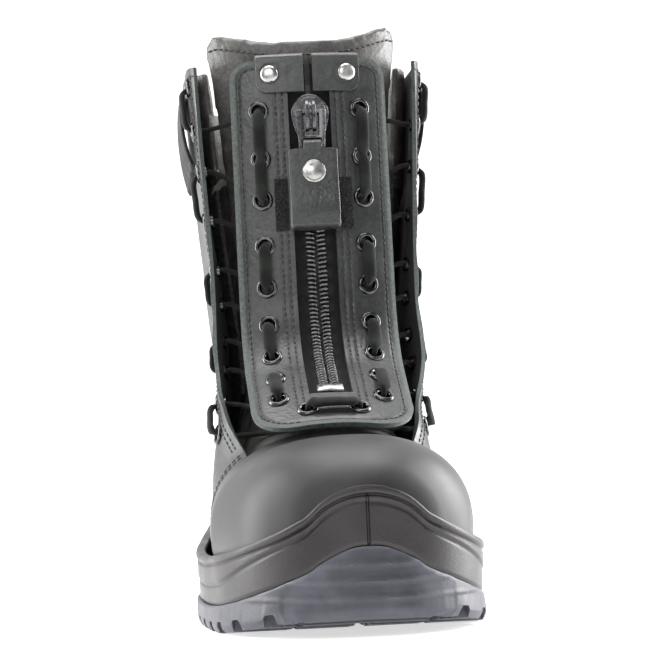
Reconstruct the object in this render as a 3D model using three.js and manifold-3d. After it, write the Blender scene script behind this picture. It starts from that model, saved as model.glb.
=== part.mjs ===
// Firefighter's boot, right foot, with a zip panel laced into its front.
// Millimetres, +Z up, toe towards -Y, inner (big toe) side towards +X.
// The boot is one surface, swept from the toe tip to the top of the shaft, and each
// leather or lining layer is a patch of it at its own depth. The zip panel has a flat
// pattern of its own, (x across, s down from its top, n out of its back), bent over the instep.
import * as THREE from 'three';
import { mergeVertices } from 'three/addons/utils/BufferGeometryUtils.js';
import Module from 'manifold-3d';

const wasm = await Module();
wasm.setup();

const { sin, cos, abs, PI, sqrt, sign, min, max, hypot } = Math;
const rad = THREE.MathUtils.degToRad;
const smooth = (x, a, b) => THREE.MathUtils.smoothstep(x, a, b);

// ---------------------------------------------------------------- driving dimensions
const TOE_Y = -151;            // toe tip of the upper
const HEEL_Y = 147;            // back of the heel of the upper
const BALL_HALF = 54;          // half width of the upper at the ball
const SHAFT_HALF = 53;         // half width of the shaft at its top
const TOE_HEIGHT = 75;         // top of the toe box, above the ground
const TOE_SPRING = 9;          // the sole's toe tip is this far off the ground
const SOLE_FORE = 21;          // ground to the upper's bottom at the ball
const SOLE_HEEL = 33;          // the same at the heel

const GAP = 0.35;              // running gap between touching pieces
const LEATHER = 2.0;
const STIFFENER = 1.7;         // toe cap and heel counter
const LINER = 1.9;
const COVER = 1.7;             // leather or rubber laid over the main leather
const LAYER_GAP = 0.7;         // between stacked shells

const SOLE_MARGIN = 5.5;       // the sole stands out from the upper all round
const WALL = 4.6;              // wall of the rand round the upper
const TRAY_CLEAR = 0.8;        // rand to the upper
const LUG_DEPTH = 4.5;
const LUG_PITCH = 17;
const LUG_GROOVE = 6;
const WAVE_TOE = 35;           // height of the outsole's edge at the toe
const RAND_TOE = 58;           // height of the rand's edge at the toe

const PANEL_HALF = 34;         // half width of the zip panel
const PANEL_LENGTH = 192;
const PANEL_STRAIGHT = 105;    // its straight length, from the top
const PANEL_BEND = 45;         // radius of the bend over the instep
const PANEL_LEAN = 4;          // degrees back from upright
const PANEL_SLOPE = 57;        // degrees from upright below the bend
const PANEL_ROUND = 110;       // radius across the panel
const PANEL_AT = [6, 140];     // y and z where the bend starts
const SLOT_HALF = 9.2;         // half width of the zip's slot in the leather
const SLOT_END = 168;
const PANEL_STAND = 7;         // panel's back to the upper's surface

const EYELET_HOLE = 2.6;
const EYELET_RIM = 4.6;
const EYELET_X = 22;
const EYELET_ROWS = [23, 44.5, 63, 83.5, 102, 119, 136, 152.5, 169];
const FOOT_EYELET = { x: 11, s: 180 };
const LACE_THIN = 1.0;         // lace's radius where an eyelet squeezes it
const LACE_FULL = 2.1;         // and in the open

const COIL_HALF = 4.7;         // half width of the closed zip chain
const COIL_GAP = 1.1;          // half gap between the two coils
const COIL_THICK = 2.6;
const TAPE = 0.7;
const TAPE_HALF = 14.5;
const SLIDER_S = [17, 37];     // where the slider rests
const SLIDER_HALF = 8.2;

// ---------------------------------------------------------------- small tools
// Smooth curve through (knots, values), by Catmull-Rom tangents on uneven knots.
function through(knots, values, x) {
  const n = knots.length;
  let i = 0;
  while (i < n - 2 && x > knots[i + 1]) i += 1;
  const slope = (k) => {
    const a = max(k - 1, 0), b = min(k + 1, n - 1);
    return (values[b] - values[a]) / (knots[b] - knots[a]);
  };
  const h = knots[i + 1] - knots[i], u = (x - knots[i]) / h;
  const u2 = u * u, u3 = u2 * u;
  return (2 * u3 - 3 * u2 + 1) * values[i] + (u3 - 2 * u2 + u) * h * slope(i)
    + (-2 * u3 + 3 * u2) * values[i + 1] + (u3 - u2) * h * slope(i + 1);
}

const spread = (a, b, n) => Array.from({ length: n + 1 }, (_, i) => a + (b - a) * i / n);

// Closed solid between two grids of points of the same size, [row][column].
function slab(outer, inner, closedRows = false) {
  const rows = outer.length, cols = outer[0].length;
  const positions = [];
  const tri = (a, b, c) => positions.push(...a.toArray(), ...b.toArray(), ...c.toArray());
  const quad = (a, b, c, d) => { tri(a, b, c); tri(a, c, d); };
  const lastRow = closedRows ? rows : rows - 1;
  for (let i = 0; i < lastRow; i += 1) {
    const k = (i + 1) % rows;
    for (let j = 0; j < cols - 1; j += 1) {
      quad(outer[i][j], outer[k][j], outer[k][j + 1], outer[i][j + 1]);
      quad(inner[i][j], inner[i][j + 1], inner[k][j + 1], inner[k][j]);
    }
    quad(outer[i][0], inner[i][0], inner[k][0], outer[k][0]);
    quad(outer[i][cols - 1], outer[k][cols - 1], inner[k][cols - 1], inner[i][cols - 1]);
  }
  if (!closedRows) {
    for (let j = 0; j < cols - 1; j += 1) {
      quad(outer[0][j], outer[0][j + 1], inner[0][j + 1], inner[0][j]);
      quad(outer[rows - 1][j], inner[rows - 1][j], inner[rows - 1][j + 1], outer[rows - 1][j + 1]);
    }
  }
  return facingOut(geometryOf(positions));
}

function geometryOf(positions) {
  return new THREE.BufferGeometry()
    .setAttribute('position', new THREE.Float32BufferAttribute(positions, 3));
}

// Turns every face round if the closed geometry is inside out.
function facingOut(geometry) {
  const p = geometry.getAttribute('position').array;
  let volume = 0;
  for (let i = 0; i < p.length; i += 9) {
    volume += p[i] * (p[i + 4] * p[i + 8] - p[i + 5] * p[i + 7])
      - p[i + 1] * (p[i + 3] * p[i + 8] - p[i + 5] * p[i + 6])
      + p[i + 2] * (p[i + 3] * p[i + 7] - p[i + 4] * p[i + 6]);
  }
  if (volume < 0) {
    for (let i = 0; i < p.length; i += 9) {
      for (let k = 0; k < 3; k += 1) [p[i + 3 + k], p[i + 6 + k]] = [p[i + 6 + k], p[i + 3 + k]];
    }
  }
  return geometry;
}

function solid(geometry) {
  const bare = geometry.index ? geometry.toNonIndexed() : geometry.clone();
  bare.deleteAttribute('normal');
  bare.deleteAttribute('uv');
  const merged = mergeVertices(bare, 1e-4);
  return new wasm.Manifold(new wasm.Mesh({
    numProp: 3,
    vertProperties: merged.attributes.position.array,
    triVerts: new Uint32Array(merged.index.array),
  }));
}

function geometryFrom(manifold) {
  const mesh = manifold.getMesh();
  const n = mesh.numProp;
  const positions = [];
  for (const v of mesh.triVerts) {
    positions.push(...mesh.vertProperties.subarray(v * n, v * n + 3));
  }
  return geometryOf(positions);
}

const cut = (geometry, ...tools) => geometryFrom(
  tools.reduce((left, tool) => left.subtract(solid(tool)), solid(geometry)),
);
const common = (a, b) => geometryFrom(solid(a).intersect(solid(b)));
const join = (first, ...more) => geometryFrom(
  more.reduce((sum, one) => sum.add(solid(one)), solid(first)),
);

// ---------------------------------------------------------------- plan of the foot
// Half widths of the upper in plan, inner side and outer side, from toe to heel.
const PLAN_Y = [TOE_Y, -125, -95, -65, -30, 10, 50, 90, 120, HEEL_Y];
const PLAN_IN = [46, 47, 47, 48, 46, 38, 36, 38, 38, 36].map((w) => w * BALL_HALF / 54);
const PLAN_OUT = [44, 48, 51, BALL_HALF, 55, 51, 45, 40, 38, 36].map((w) => w * BALL_HALF / 54);
const TOE_ROUND = 62;
const HEEL_ROUND = 40;

function planHalf(y, side) {
  const w = through(PLAN_Y, side > 0 ? PLAN_IN : PLAN_OUT, y);
  const toe = max(0, (TOE_Y + TOE_ROUND - y) / TOE_ROUND);
  const heel = max(0, (y - HEEL_Y + HEEL_ROUND) / HEEL_ROUND);
  return w * (1 - min(1, toe) ** 2.3) ** 0.46 * (1 - min(1, heel) ** 2.2) ** 0.46;
}

// Ring of n plan points round the foot, each with its outward normal.
function planRing(n) {
  const half = n / 2;
  const at = (i) => {
    const k = ((i % n) + n) % n;
    const side = k <= half ? 1 : -1;
    const u = (k <= half ? k : n - k) / half;
    const y = TOE_Y + (HEEL_Y - TOE_Y) * (1 - cos(PI * u)) / 2;
    return new THREE.Vector2(side * planHalf(y, side), y);
  };
  return Array.from({ length: n }, (_, i) => {
    const d = at(i + 1).sub(at(i - 1));
    return { p: at(i), n: new THREE.Vector2(d.y, -d.x).normalize() };
  });
}

// Heights, by y: the ground line with its toe spring, the upper's bottom, the edges of the bands.
const GROUND_Y = [TOE_Y - 10, -120, -95, -70, HEEL_Y + 10];
const groundZ = (y) => max(0, through(GROUND_Y, [TOE_SPRING, TOE_SPRING * 0.32, 0.4, 0, 0], y));
const BED_Y = [TOE_Y, -110, -60, 0, 50, 100, HEEL_Y];
const bedZ = (y) => through(
  BED_Y, [SOLE_FORE + 5, SOLE_FORE + 1, SOLE_FORE, SOLE_FORE + 4, SOLE_HEEL - 4, SOLE_HEEL, SOLE_HEEL], y,
);
const EDGE_Y = [TOE_Y, TOE_Y + 2, TOE_Y + 6, -134, -116, -88, -55, 0, 60, HEEL_Y];
const waveZ = (y) => through(EDGE_Y, [WAVE_TOE, WAVE_TOE - 4, 25, 19, 14, 11, 10.5, 12, 15, 18], y);
const randZ = (y) => through(EDGE_Y, [RAND_TOE, RAND_TOE - 4, 46, 39, 34, 31, 30, 33, 40, 46], y);

// ---------------------------------------------------------------- front line of the zip panel
const LEAN = rad(PANEL_LEAN);
const SLOPE = rad(PANEL_SLOPE);
const BEND_LENGTH = PANEL_BEND * (SLOPE - LEAN);

function panelLine(s) {
  const [ya, za] = PANEL_AT;
  if (s < PANEL_STRAIGHT) {
    const up = PANEL_STRAIGHT - s;
    return { y: ya + up * sin(LEAN), z: za + up * cos(LEAN), tilt: LEAN };
  }
  const tilt = min(SLOPE, LEAN + (s - PANEL_STRAIGHT) / PANEL_BEND);
  const rest = max(0, s - PANEL_STRAIGHT - BEND_LENGTH);
  return {
    y: ya - PANEL_BEND * (cos(LEAN) - cos(tilt)) - rest * sin(SLOPE),
    z: za - PANEL_BEND * (sin(tilt) - sin(LEAN)) - rest * cos(SLOPE),
    tilt,
  };
}

// Point of the panel's frame: x across, s down, n outwards from its back face.
function panelPoint(x, s, n = 0) {
  const { y, z, tilt } = panelLine(s);
  const out = n - x * x / (2 * PANEL_ROUND);
  return new THREE.Vector3(x, y - out * cos(tilt), z + out * sin(tilt));
}

// Slab of the panel's frame: half widths (or two edges) over the rows s, from n0 to n1.
function panelSlab(rows, edges, n0, n1, cols) {
  const grid = (n) => rows.map((s) => {
    const [a, b] = edges(s);
    return spread(a, b, cols).map((x) => panelPoint(x, s, n));
  });
  return slab(grid(n1), grid(n0));
}

const bendRows = (from, to) => spread(from, to, 200).filter((s, i, all) => {
  const tightest = s > PANEL_STRAIGHT - 3 && s < PANEL_STRAIGHT + BEND_LENGTH + 3;
  return i === 0 || i === all.length - 1 || i % (tightest ? 7 : 20) === 0;
});

// Point off the panel's back face at (x, s), measured square to the curved face.
function squareTo(x, s) {
  const across = panelPoint(x + 0.5, s).sub(panelPoint(x - 0.5, s));
  return across.cross(panelPoint(x, s + 0.5).sub(panelPoint(x, s - 0.5))).normalize().negate();
}
const offPanel = (x, s, n) => panelPoint(x, s).addScaledVector(squareTo(x, s), n);

// Turned part or round tool standing square on the panel at (x, s).
function placedOn(geometry, x, s, n = 0) {
  const o = offPanel(x, s, n), out = squareTo(x, s);
  const turn = new THREE.Quaternion().setFromUnitVectors(new THREE.Vector3(0, 1, 0), out);
  return geometry.applyQuaternion(turn).translate(o.x, o.y, o.z);
}

// ---------------------------------------------------------------- the boot's surface
// Sections from toe to top. The front point (dy, dz) and the back point (py, pz) of each,
// its half widths, and how square its two halves are.
const FRONT_S = [178, 152, 130, 110, 90, 62, 30, 0, -24];
const front = FRONT_S.map((s) => {
  const { y, z, tilt } = panelLine(s);
  return [y + PANEL_STAND * cos(tilt), z - PANEL_STAND * sin(tilt)];
});
const TOE_FRONT = [
  [TOE_Y, 41], [TOE_Y + 3, 54], [TOE_Y + 12, 66], [TOE_Y + 31, TOE_HEIGHT - 1],
  [TOE_Y + 60, TOE_HEIGHT], [TOE_Y + 84, TOE_HEIGHT - 0.5],
];
const BACK = [
  [TOE_Y, 31], [TOE_Y + 2, bedZ(TOE_Y) + 1], [TOE_Y + 10, bedZ(-140)], [-124, bedZ(-124)],
  [-88, bedZ(-88)], [-54, bedZ(-54)], [2, bedZ(2)], [62, bedZ(62)], [116, bedZ(116) + 1],
  [HEEL_Y - 2, 47], [HEEL_Y, 76], [138, 122], [127, 184], [121, 244], [120, 262],
];
const LEVELS = BACK.map((_, i) => i);
const FRONT = [...TOE_FRONT, ...front];
const sideWidth = (y, side) => planHalf(max(TOE_Y + 0.9, y), side);
const MID_Y = [TOE_Y, TOE_Y + 2.5, TOE_Y + 11, -122, -89, -58];
const WIDTHS = [1, -1].map((side) => [
  ...MID_Y.map((y) => sideWidth(y, side)),
  ...[side > 0 ? 47 : 52, side > 0 ? 42 : 47, 41, 40, 42, 46, 50, SHAFT_HALF, SHAFT_HALF],
]);
const WIDEST = [0, -0.1, -0.2, -0.3, -0.35, -0.35, -0.4, -0.35, -0.2, 0, 0, 0, 0, 0, 0];
const SQUARE_TOP = [2, 2, 2.15, 2.3, 2.35, 2.3, 2.1, 2, 2, 2, 2.1, 2.2, 2.2, 2.2, 2.2];
const SQUARE_BACK = [2, 2.4, 2.8, 3.2, 3.4, 3.4, 3.2, 3, 2.7, 2.4, 2.2, 2.1, 2.1, 2.1, 2.1];
const TOP_LEVEL = 13;          // section of the shaft's top edge
const THROAT = 5.7;            // section where the vamp ends and the opening starts

const pick = (list, v) => through(LEVELS, list, v);

const WING_SQUARE = 5.8;       // the quarters' front edges stand forward, not round the shin

// Point at section v and angle t (0 at the front line, +-PI at the back line, + on the inner side).
function swept(v, angle, wing = 0) {
  const t = angle > PI ? angle - 2 * PI : angle;
  const d = [pick(FRONT.map((p) => p[0]), v), pick(FRONT.map((p) => p[1]), v)];
  const p = [pick(BACK.map((q) => q[0]), v), pick(BACK.map((q) => q[1]), v)];
  const w = pick(t >= 0 ? WIDTHS[0] : WIDTHS[1], v);
  const m = pick(WIDEST, v);
  const fore = cos(t) >= 0;
  const e = fore ? pick(SQUARE_TOP, v) + wing * WING_SQUARE : pick(SQUARE_BACK, v);
  const c = abs(cos(t)) ** (2 / e);
  const a = fore ? m + (1 - m) * c : m - (1 + m) * c;
  let x = w * sign(sin(t)) * abs(sin(t)) ** (2 / e);
  if (wing) x += sign(t) * wing * wingFlare(v) * (1 - smooth(abs(t), 0.35, 1.55));
  return new THREE.Vector3(x, (d[0] * (1 + a) + p[0] * (1 - a)) / 2, (d[1] * (1 + a) + p[1] * (1 - a)) / 2);
}

// How far the loosely laced quarters stand away from the tongue.
const wingFlare = (v) => through([THROAT, 7, 8.2, 9.5, 11, 13, 14], [0, 6, 14, 13, 8, 2, 2], v);

function smoothSkin(v, t, depth, wing) {
  const h = 0.02;
  const dv = swept(min(v + h, 14), t, wing).sub(swept(max(v - h, 0), t, wing));
  const dt = swept(v, t + h, wing).sub(swept(v, t - h, wing));
  const n = dv.cross(dt).normalize();
  const centre = swept(v, 0, 0).add(swept(v, PI, 0)).multiplyScalar(0.5);
  const p = swept(v, t, wing);
  if (n.dot(p.clone().sub(centre)) < 0) n.negate();
  return p.addScaledVector(n, depth);
}

// Every layer shares these knots and is straight between them, so that layers stay parallel.
const V_KNOTS = [0, 0.45, 0.9, 1.35, 1.8, 2.3, 2.8, 3.3, 3.8, 4.4, 5, THROAT, 6.3, 6.9, 7.5,
  8, 8.35, 8.7, 9.05, 9.4, 9.8, 10.4, 11, 11.6, 12.3, TOP_LEVEL, 14];
const T_COUNT = 22;
const T_STEP = 2 * PI / T_COUNT;
const quarterWing = (v) => smooth(v, THROAT, THROAT + 1.8);
const rowsIn = (a, b) => [a, ...V_KNOTS.filter((v) => v > a + 0.08 && v < b - 0.08), b];
const turnsIn = (a, b) => [a,
  ...spread(-T_COUNT, T_COUNT, 2 * T_COUNT).map((k) => k * T_STEP).filter((t) => t > a + 0.06 && t < b - 0.06),
  b];

function skin(v, t, depth, winged = false) {
  let i = 0;
  while (i < V_KNOTS.length - 2 && v > V_KNOTS[i + 1]) i += 1;
  const u = (v - V_KNOTS[i]) / (V_KNOTS[i + 1] - V_KNOTS[i]);
  const k = Math.floor(t / T_STEP + 1e-9), w = t / T_STEP - k;
  const at = (row, col) => smoothSkin(
    V_KNOTS[row], col * T_STEP, depth, winged ? quarterWing(V_KNOTS[row]) : 0,
  );
  const low = at(i, k).multiplyScalar(1 - w).addScaledVector(at(i, k + 1), w);
  return low.multiplyScalar(1 - u).addScaledVector(at(i + 1, k).multiplyScalar(1 - w)
    .addScaledVector(at(i + 1, k + 1), w), u);
}

// Shell of the boot's surface between two sections and two angles, from depth to depth.
// edge(v, t) may move its rows, and turn(v, t) its columns.
function patch([v0, v1], [t0, t1], inner, outer, { winged, edge = (v) => v, turn = (v, t) => t } = {}) {
  const rows = rowsIn(v0, v1), turns = turnsIn(t0, t1);
  const grid = (depth) => rows.map((v) => turns.map((t) => skin(edge(v, t), turn(v, t), depth, winged)));
  return slab(grid(outer), grid(inner));
}

// Solid of everything inside the surface moved out by depth, from the toe up to section v1.
function core(depth, v1) {
  const rows = rowsIn(0, v1).map((v) => spread(0, T_COUNT, T_COUNT).slice(0, T_COUNT)
    .map((k) => skin(v, (k - T_COUNT / 2) * T_STEP, depth)));
  const positions = [];
  const tri = (a, b, c) => positions.push(...a.toArray(), ...b.toArray(), ...c.toArray());
  for (let i = 0; i < rows.length - 1; i += 1) {
    rows[i].forEach((p, k) => {
      const m = (k + 1) % T_COUNT;
      tri(p, rows[i][m], rows[i + 1][m]);
      tri(p, rows[i + 1][m], rows[i + 1][k]);
    });
  }
  const last = rows.length - 1;
  for (let k = 1; k < T_COUNT - 1; k += 1) {
    tri(rows[0][0], rows[0][k + 1], rows[0][k]);
    tri(rows[last][0], rows[last][k], rows[last][k + 1]);
  }
  return facingOut(geometryOf(positions));
}

// Depths of the layers, from the main leather's outer face.
const LEATHER_IN = -LEATHER;
const STIFF_OUT = LEATHER_IN - LAYER_GAP;
const STIFF_IN = STIFF_OUT - STIFFENER;
const LINER_OUT = STIFF_IN - LAYER_GAP;
const LINER_IN = LINER_OUT - LINER;
const COVER_IN = LAYER_GAP;
const COVER_OUT = COVER_IN + COVER;
const FEATHER = 0.82 * PI;     // angle of the upper's bottom edge in the foot

// ---------------------------------------------------------------- materials and group
const boot = new THREE.Group();
const material = (colour, roughness, metalness = 0) => new THREE.MeshStandardMaterial({
  color: colour, roughness, metalness,
});
const leather = material(0x2e302f, 0.5);
const softLeather = material(0x34322f, 0.6);
const rubber = material(0x222222, 0.7);
const soleRubber = material(0x4d505a, 0.7);
const foam = material(0x3a3a3a, 0.9);
const textile = material(0x1c1d1c, 0.95);
const board = material(0x8a8a78, 0.9);
const steel = material(0x8c8f92, 0.35, 1);
const darkMetal = material(0x4a4b4d, 0.35, 1);
const nickel = material(0xc9cbcc, 0.25, 1);

function add(name, geometry, finish) {
  geometry.computeVertexNormals();
  const mesh = new THREE.Mesh(geometry, finish);
  mesh.name = name;
  boot.add(mesh);
  return mesh;
}

// ---------------------------------------------------------------- sole unit
const RING = 48;
const ring = planRing(RING);

// Solid lofted round the foot: stations(point) gives [inset, z] pairs from the bottom's middle
// to the top's middle, and both ends close on the foot's centre line.
function lofted(stations) {
  const columns = ring.map(({ p, n }) => stations(p.y).map(([inset, z]) => {
    const q = p.clone().addScaledVector(n, -inset);
    return new THREE.Vector3(q.x, q.y, z(q.y));
  }));
  const positions = [];
  const tri = (a, b, c) => positions.push(...a.toArray(), ...b.toArray(), ...c.toArray());
  const last = columns[0].length - 1;
  for (let i = 0; i < RING; i += 1) {
    const k = (i + 1) % RING;
    for (let j = 0; j < last; j += 1) {
      tri(columns[i][j], columns[k][j], columns[k][j + 1]);
      tri(columns[i][j], columns[k][j + 1], columns[i][j + 1]);
    }
  }
  for (const j of [0, last]) {         // the caps join each point to the one across the foot
    for (let i = 0; i < RING / 2; i += 1) {
      const a = columns[i][j], b = columns[(i + 1) % RING][j];
      const c = columns[(RING - i - 1) % RING][j], d = columns[(RING - i) % RING][j];
      const [p, q] = j ? [b, d] : [d, b];
      if (i > 0) tri(a, p, q);
      if (i < RING / 2 - 1) j ? tri(b, c, d) : tri(b, d, c);
    }
  }
  return facingOut(geometryOf(positions));
}

const BASE = 9;                // outsole's thickness under the foot
const ARCH = [2, 50];          // the waist of the sole has no lugs
const soleTop = (y) => max(groundZ(y) + BASE, 0);
const outsoleBlank = lofted((yEdge) => {
  const lip = max(0, min(1, (-70 - yEdge) / 60));   // the toe wraps up in front of the midsole
  const top = () => waveZ(yEdge);
  return [
    [6, groundZ], [-SOLE_MARGIN + 2, groundZ], [-SOLE_MARGIN, (y) => groundZ(y) + 3],
    [-SOLE_MARGIN + lip, top], [-SOLE_MARGIN + 3 + lip, top],
    [-SOLE_MARGIN + 3 + lip, soleTop], [6, soleTop],
  ];
});
const crossCuts = [];
for (let y = TOE_Y + 12; y < HEEL_Y; y += LUG_PITCH) {
  const depth = y > ARCH[0] && y < ARCH[1] ? LUG_DEPTH * 1.4 : LUG_DEPTH;
  const width = y > ARCH[0] && y < ARCH[1] ? LUG_PITCH + 0.5 : LUG_GROOVE;
  crossCuts.push(new THREE.BoxGeometry(SHAFT_HALF * 4, width, 2 * depth)
    .rotateX(-0.25 * max(0, (-100 - y) / 50)).translate(0, y, groundZ(y)));
}
const alongCut = new THREE.BoxGeometry(LUG_GROOVE - 1, HEEL_Y - TOE_Y - 40, 2 * LUG_DEPTH - 1)
  .translate(0, (HEEL_Y + TOE_Y) / 2, 0);
add('outsole', cut(outsoleBlank, ...crossCuts, alongCut), soleRubber);

const FLOOR = -0.4;            // midsole's floor, from the upper's bottom
const SHANK = { half: 9.5, from: -8, to: 96, thick: 1.6, sink: 1 };
const midsoleBlank = lofted((yEdge) => {
  const lip = max(0, min(1, (-70 - yEdge) / 60));
  const face = -SOLE_MARGIN + 3 + lip + GAP;
  const proud = 0.6 * smooth(-yEdge, 60, 80);        // the rand's top ridge stands out round the toe
  const rand = () => randZ(yEdge);
  const wave = () => waveZ(yEdge) + GAP;
  return [
    [8, (y) => soleTop(y) + GAP], [face, (y) => soleTop(y) + GAP], [face, wave],
    [-SOLE_MARGIN + 1, wave], [-TRAY_CLEAR - WALL + 1 - proud, rand], [-TRAY_CLEAR, rand],
    [-TRAY_CLEAR, () => min(rand() - 6, bedZ(yEdge) + 14)],
    [-TRAY_CLEAR, () => bedZ(yEdge) + FLOOR], [8, (y) => bedZ(y) + FLOOR],
  ];
});
const strip = (half, y0, y1, low, high) => {
  const grid = (dz) => spread(y0, y1, 8).map((y) => [
    new THREE.Vector3(-half, y, bedZ(y) + dz), new THREE.Vector3(half, y, bedZ(y) + dz),
  ]);
  return slab(grid(high), grid(low));
};
const shankTop = FLOOR - SHANK.sink;
const shankPocket = strip(
  SHANK.half + 1, SHANK.from - 1, SHANK.to + 1, shankTop - SHANK.thick - GAP, FLOOR + 3,
);
const belowRand = (dz) => lofted((yEdge) => [
  [6, () => -20], [-14, () => -20], [-14, () => randZ(yEdge) + dz], [6, () => randZ(yEdge) + dz],
]);
const COVER_END = 4.4;
const COVER_HALF = 0.72 * PI;
const COVER_DOWN = 8;          // how far the toe cover reaches down inside the rand
const coverRoom = cut(patch(
  [0, COVER_END + 0.1], [-COVER_HALF, COVER_HALF], 0, COVER_OUT + 0.5,
), belowRand(-COVER_DOWN - 0.6));
add('midsole', cut(midsoleBlank, shankPocket, core(0.6, 9.4), coverRoom), rubber);
add('shank', strip(SHANK.half, SHANK.from, SHANK.to, shankTop - SHANK.thick, shankTop), steel);

const plate = (inset, low, high) => lofted(() => [
  [inset + 6, (y) => bedZ(y) + low], [inset, (y) => bedZ(y) + low],
  [inset, (y) => bedZ(y) + high], [inset + 6, (y) => bedZ(y) + high],
]);
const BOARD_INSET = 20;
const FOOTBED_INSET = 12;
add('insole_board', cut(
  plate(BOARD_INSET, 0, -LINER_OUT - LAYER_GAP - 0.3), core(LINER_OUT + 0.3, 9.8),
), board);
add('footbed', common(plate(FOOTBED_INSET, 4, -LINER_IN + 4), core(LINER_IN - GAP, 9.8)), foam);

// ---------------------------------------------------------------- upper
const LINER_SLIT = 0.012;      // the sock's seam along the top of the foot
const LINER_FRONT = 1.02;      // its front edges above the throat, in radians
const LINER_TOP = 11.6;
const QUARTER_FRONT = 0.76;
const BACK_SEAM = 0.012;
const COUNTER_HALF = 0.9;
const COUNTER_ROWS = [8.7, 10.4];
const TONGUE_HALF = 0.95;

add('vamp', patch([0, THROAT], [-FEATHER, FEATHER], LEATHER_IN, 0), leather);
add('toe_cover', cut(
  patch([0, COVER_END], [-COVER_HALF, COVER_HALF], COVER_IN, COVER_OUT), belowRand(-COVER_DOWN),
), rubber);
add('toe_cap', patch([0, 3.6], [-0.76 * PI, 0.76 * PI], STIFF_IN, STIFF_OUT), steel);

// The lining's front edges step back from a slit to the tongue's sides at the throat.
const liningTurn = (v, t) => {
  const front = v < THROAT + 0.01 ? LINER_SLIT : LINER_FRONT;
  if (t < LINER_FRONT) return front + (t - LINER_SLIT) * (LINER_FRONT - front) / (LINER_FRONT - LINER_SLIT);
  if (t > 2 * PI - LINER_FRONT) return 2 * PI - liningTurn(v, 2 * PI - t);
  return t;
};
add('lining', patch(
  [0, LINER_TOP], [LINER_SLIT, 2 * PI - LINER_SLIT], LINER_IN, LINER_OUT, { turn: liningTurn },
), textile);
add('heel_counter', patch(COUNTER_ROWS, [PI - COUNTER_HALF, PI + COUNTER_HALF], STIFF_IN, STIFF_OUT), board);

const FOAM_FROM = 1.1;
for (const [name, side] of [['ankle_foam_inner', 1], ['ankle_foam_outer', -1]]) {
  const ends = [side * FOAM_FROM, side * (PI - COUNTER_HALF - 0.05)].sort((a, b) => a - b);
  add(name, patch([8.5, LINER_TOP], ends, STIFF_IN, STIFF_OUT), foam);
}

const COLLAR_DROP = 0.36;      // how far the leather's edge dips at the back of the shaft
const shaftEdge = (v, t) => v - COLLAR_DROP * smooth(abs(t), 1.2, 2.7) * smooth(v, 11.6, TOP_LEVEL);
const around = (t) => (t > PI ? t - 2 * PI : t);
add('collar', patch(
  [LINER_TOP + 0.06, TOP_LEVEL + 0.02], [LINER_FRONT, 2 * PI - LINER_FRONT], LINER_IN, STIFF_OUT,
  { edge: (v, t) => shaftEdge(v, around(t)) },
), softLeather);

// Quarters, each with its lace holes along the front edge.
const HOLE_INSET = 9;
const LACE_LEVELS = [[12.72, 12.15], [11.6, 10.95], [10.2, 9.55], [8.75, 8.15], [7.35, 6.6]];
// Below the heel the quarters' lower edges stop short of the insole board.
const underTurn = (v, t) => {
  const kept = 8 * T_STEP;
  const share = (FEATHER - kept) / (PI - BACK_SEAM - kept);
  return t < kept ? t : kept + (t - kept) * (share + (1 - share) * smooth(v, 8.05, 8.7));
};

// Angle on a quarter a given distance from its front edge.
function holeAngle(v, side) {
  let t = QUARTER_FRONT, run = 0, last = skin(v, side * t, 0, true);
  while (run < HOLE_INSET) {
    t += 0.01;
    const next = skin(v, side * t, 0, true);
    run += next.distanceTo(last);
    last = next;
  }
  return side * t;
}
const quarterSkin = (v, t, depth) => skin(v, t, depth, true);

function between(a, b, radius, sides = 12) {
  const middle = a.clone().add(b).multiplyScalar(0.5);
  const turn = new THREE.Quaternion().setFromUnitVectors(
    new THREE.Vector3(0, 1, 0), b.clone().sub(a).normalize(),
  );
  return new THREE.CylinderGeometry(radius, radius, a.distanceTo(b), sides)
    .applyQuaternion(turn).translate(middle.x, middle.y, middle.z);
}

for (const [name, side] of [['quarter_inner', 1], ['quarter_outer', -1]]) {
  const holes = LACE_LEVELS.flat().map((v) => {
    const t = holeAngle(v, side);
    return between(quarterSkin(v, t, -5), quarterSkin(v, t, 3), EYELET_HOLE + 0.5, 10);
  });
  const ends = [QUARTER_FRONT, PI - BACK_SEAM];
  const shell = patch([THROAT + 0.02, TOP_LEVEL], side > 0 ? ends : [-ends[1], -ends[0]], LEATHER_IN, 0, {
    winged: true, edge: shaftEdge, turn: (v, t) => side * underTurn(v, abs(t)),
  });
  add(name, cut(shell, ...holes), leather);
}
add('heel_cover', patch([8.7, 11], [PI - 0.72, PI + 0.72], COVER_IN, COVER_OUT), rubber);

// Tongue: its lower end is held under the vamp, its top stands above the shaft with two ears.
const tongueTop = (v, t) => v + (0.1 + 0.05 * sign(t)) * (abs(t) / TONGUE_HALF) ** 2 * smooth(v, 12.6, 13.7);
const TONGUE_IN = LINER_OUT + GAP, TONGUE_OUT = LEATHER_IN - GAP - 0.15;
add('tongue', patch([5.3, 13.72], [-TONGUE_HALF, TONGUE_HALF], TONGUE_IN, TONGUE_OUT, { edge: tongueTop }), softLeather);

// Pull loops: straps that lie close along the shaft's sides near the top.
const LOOP = { from: 12.74, to: 11.86, centre: 1.555, half: 0.085, rise: 2.6, thick: 1.6 };
for (const [name, side] of [['pull_loop_inner', 1], ['pull_loop_outer', -1]]) {
  const stations = spread(0, 1, 10);
  const grid = (lift) => stations.map((u) => [-1, 0, 1].map((k) => skin(
    LOOP.from + (LOOP.to - LOOP.from) * u, side * (LOOP.centre + k * LOOP.half),
    0.6 + LOOP.rise * sin(PI * u) ** 0.7 + lift, true,
  )));
  add(name, slab(grid(LOOP.thick), grid(0)), textile);
}

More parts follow.
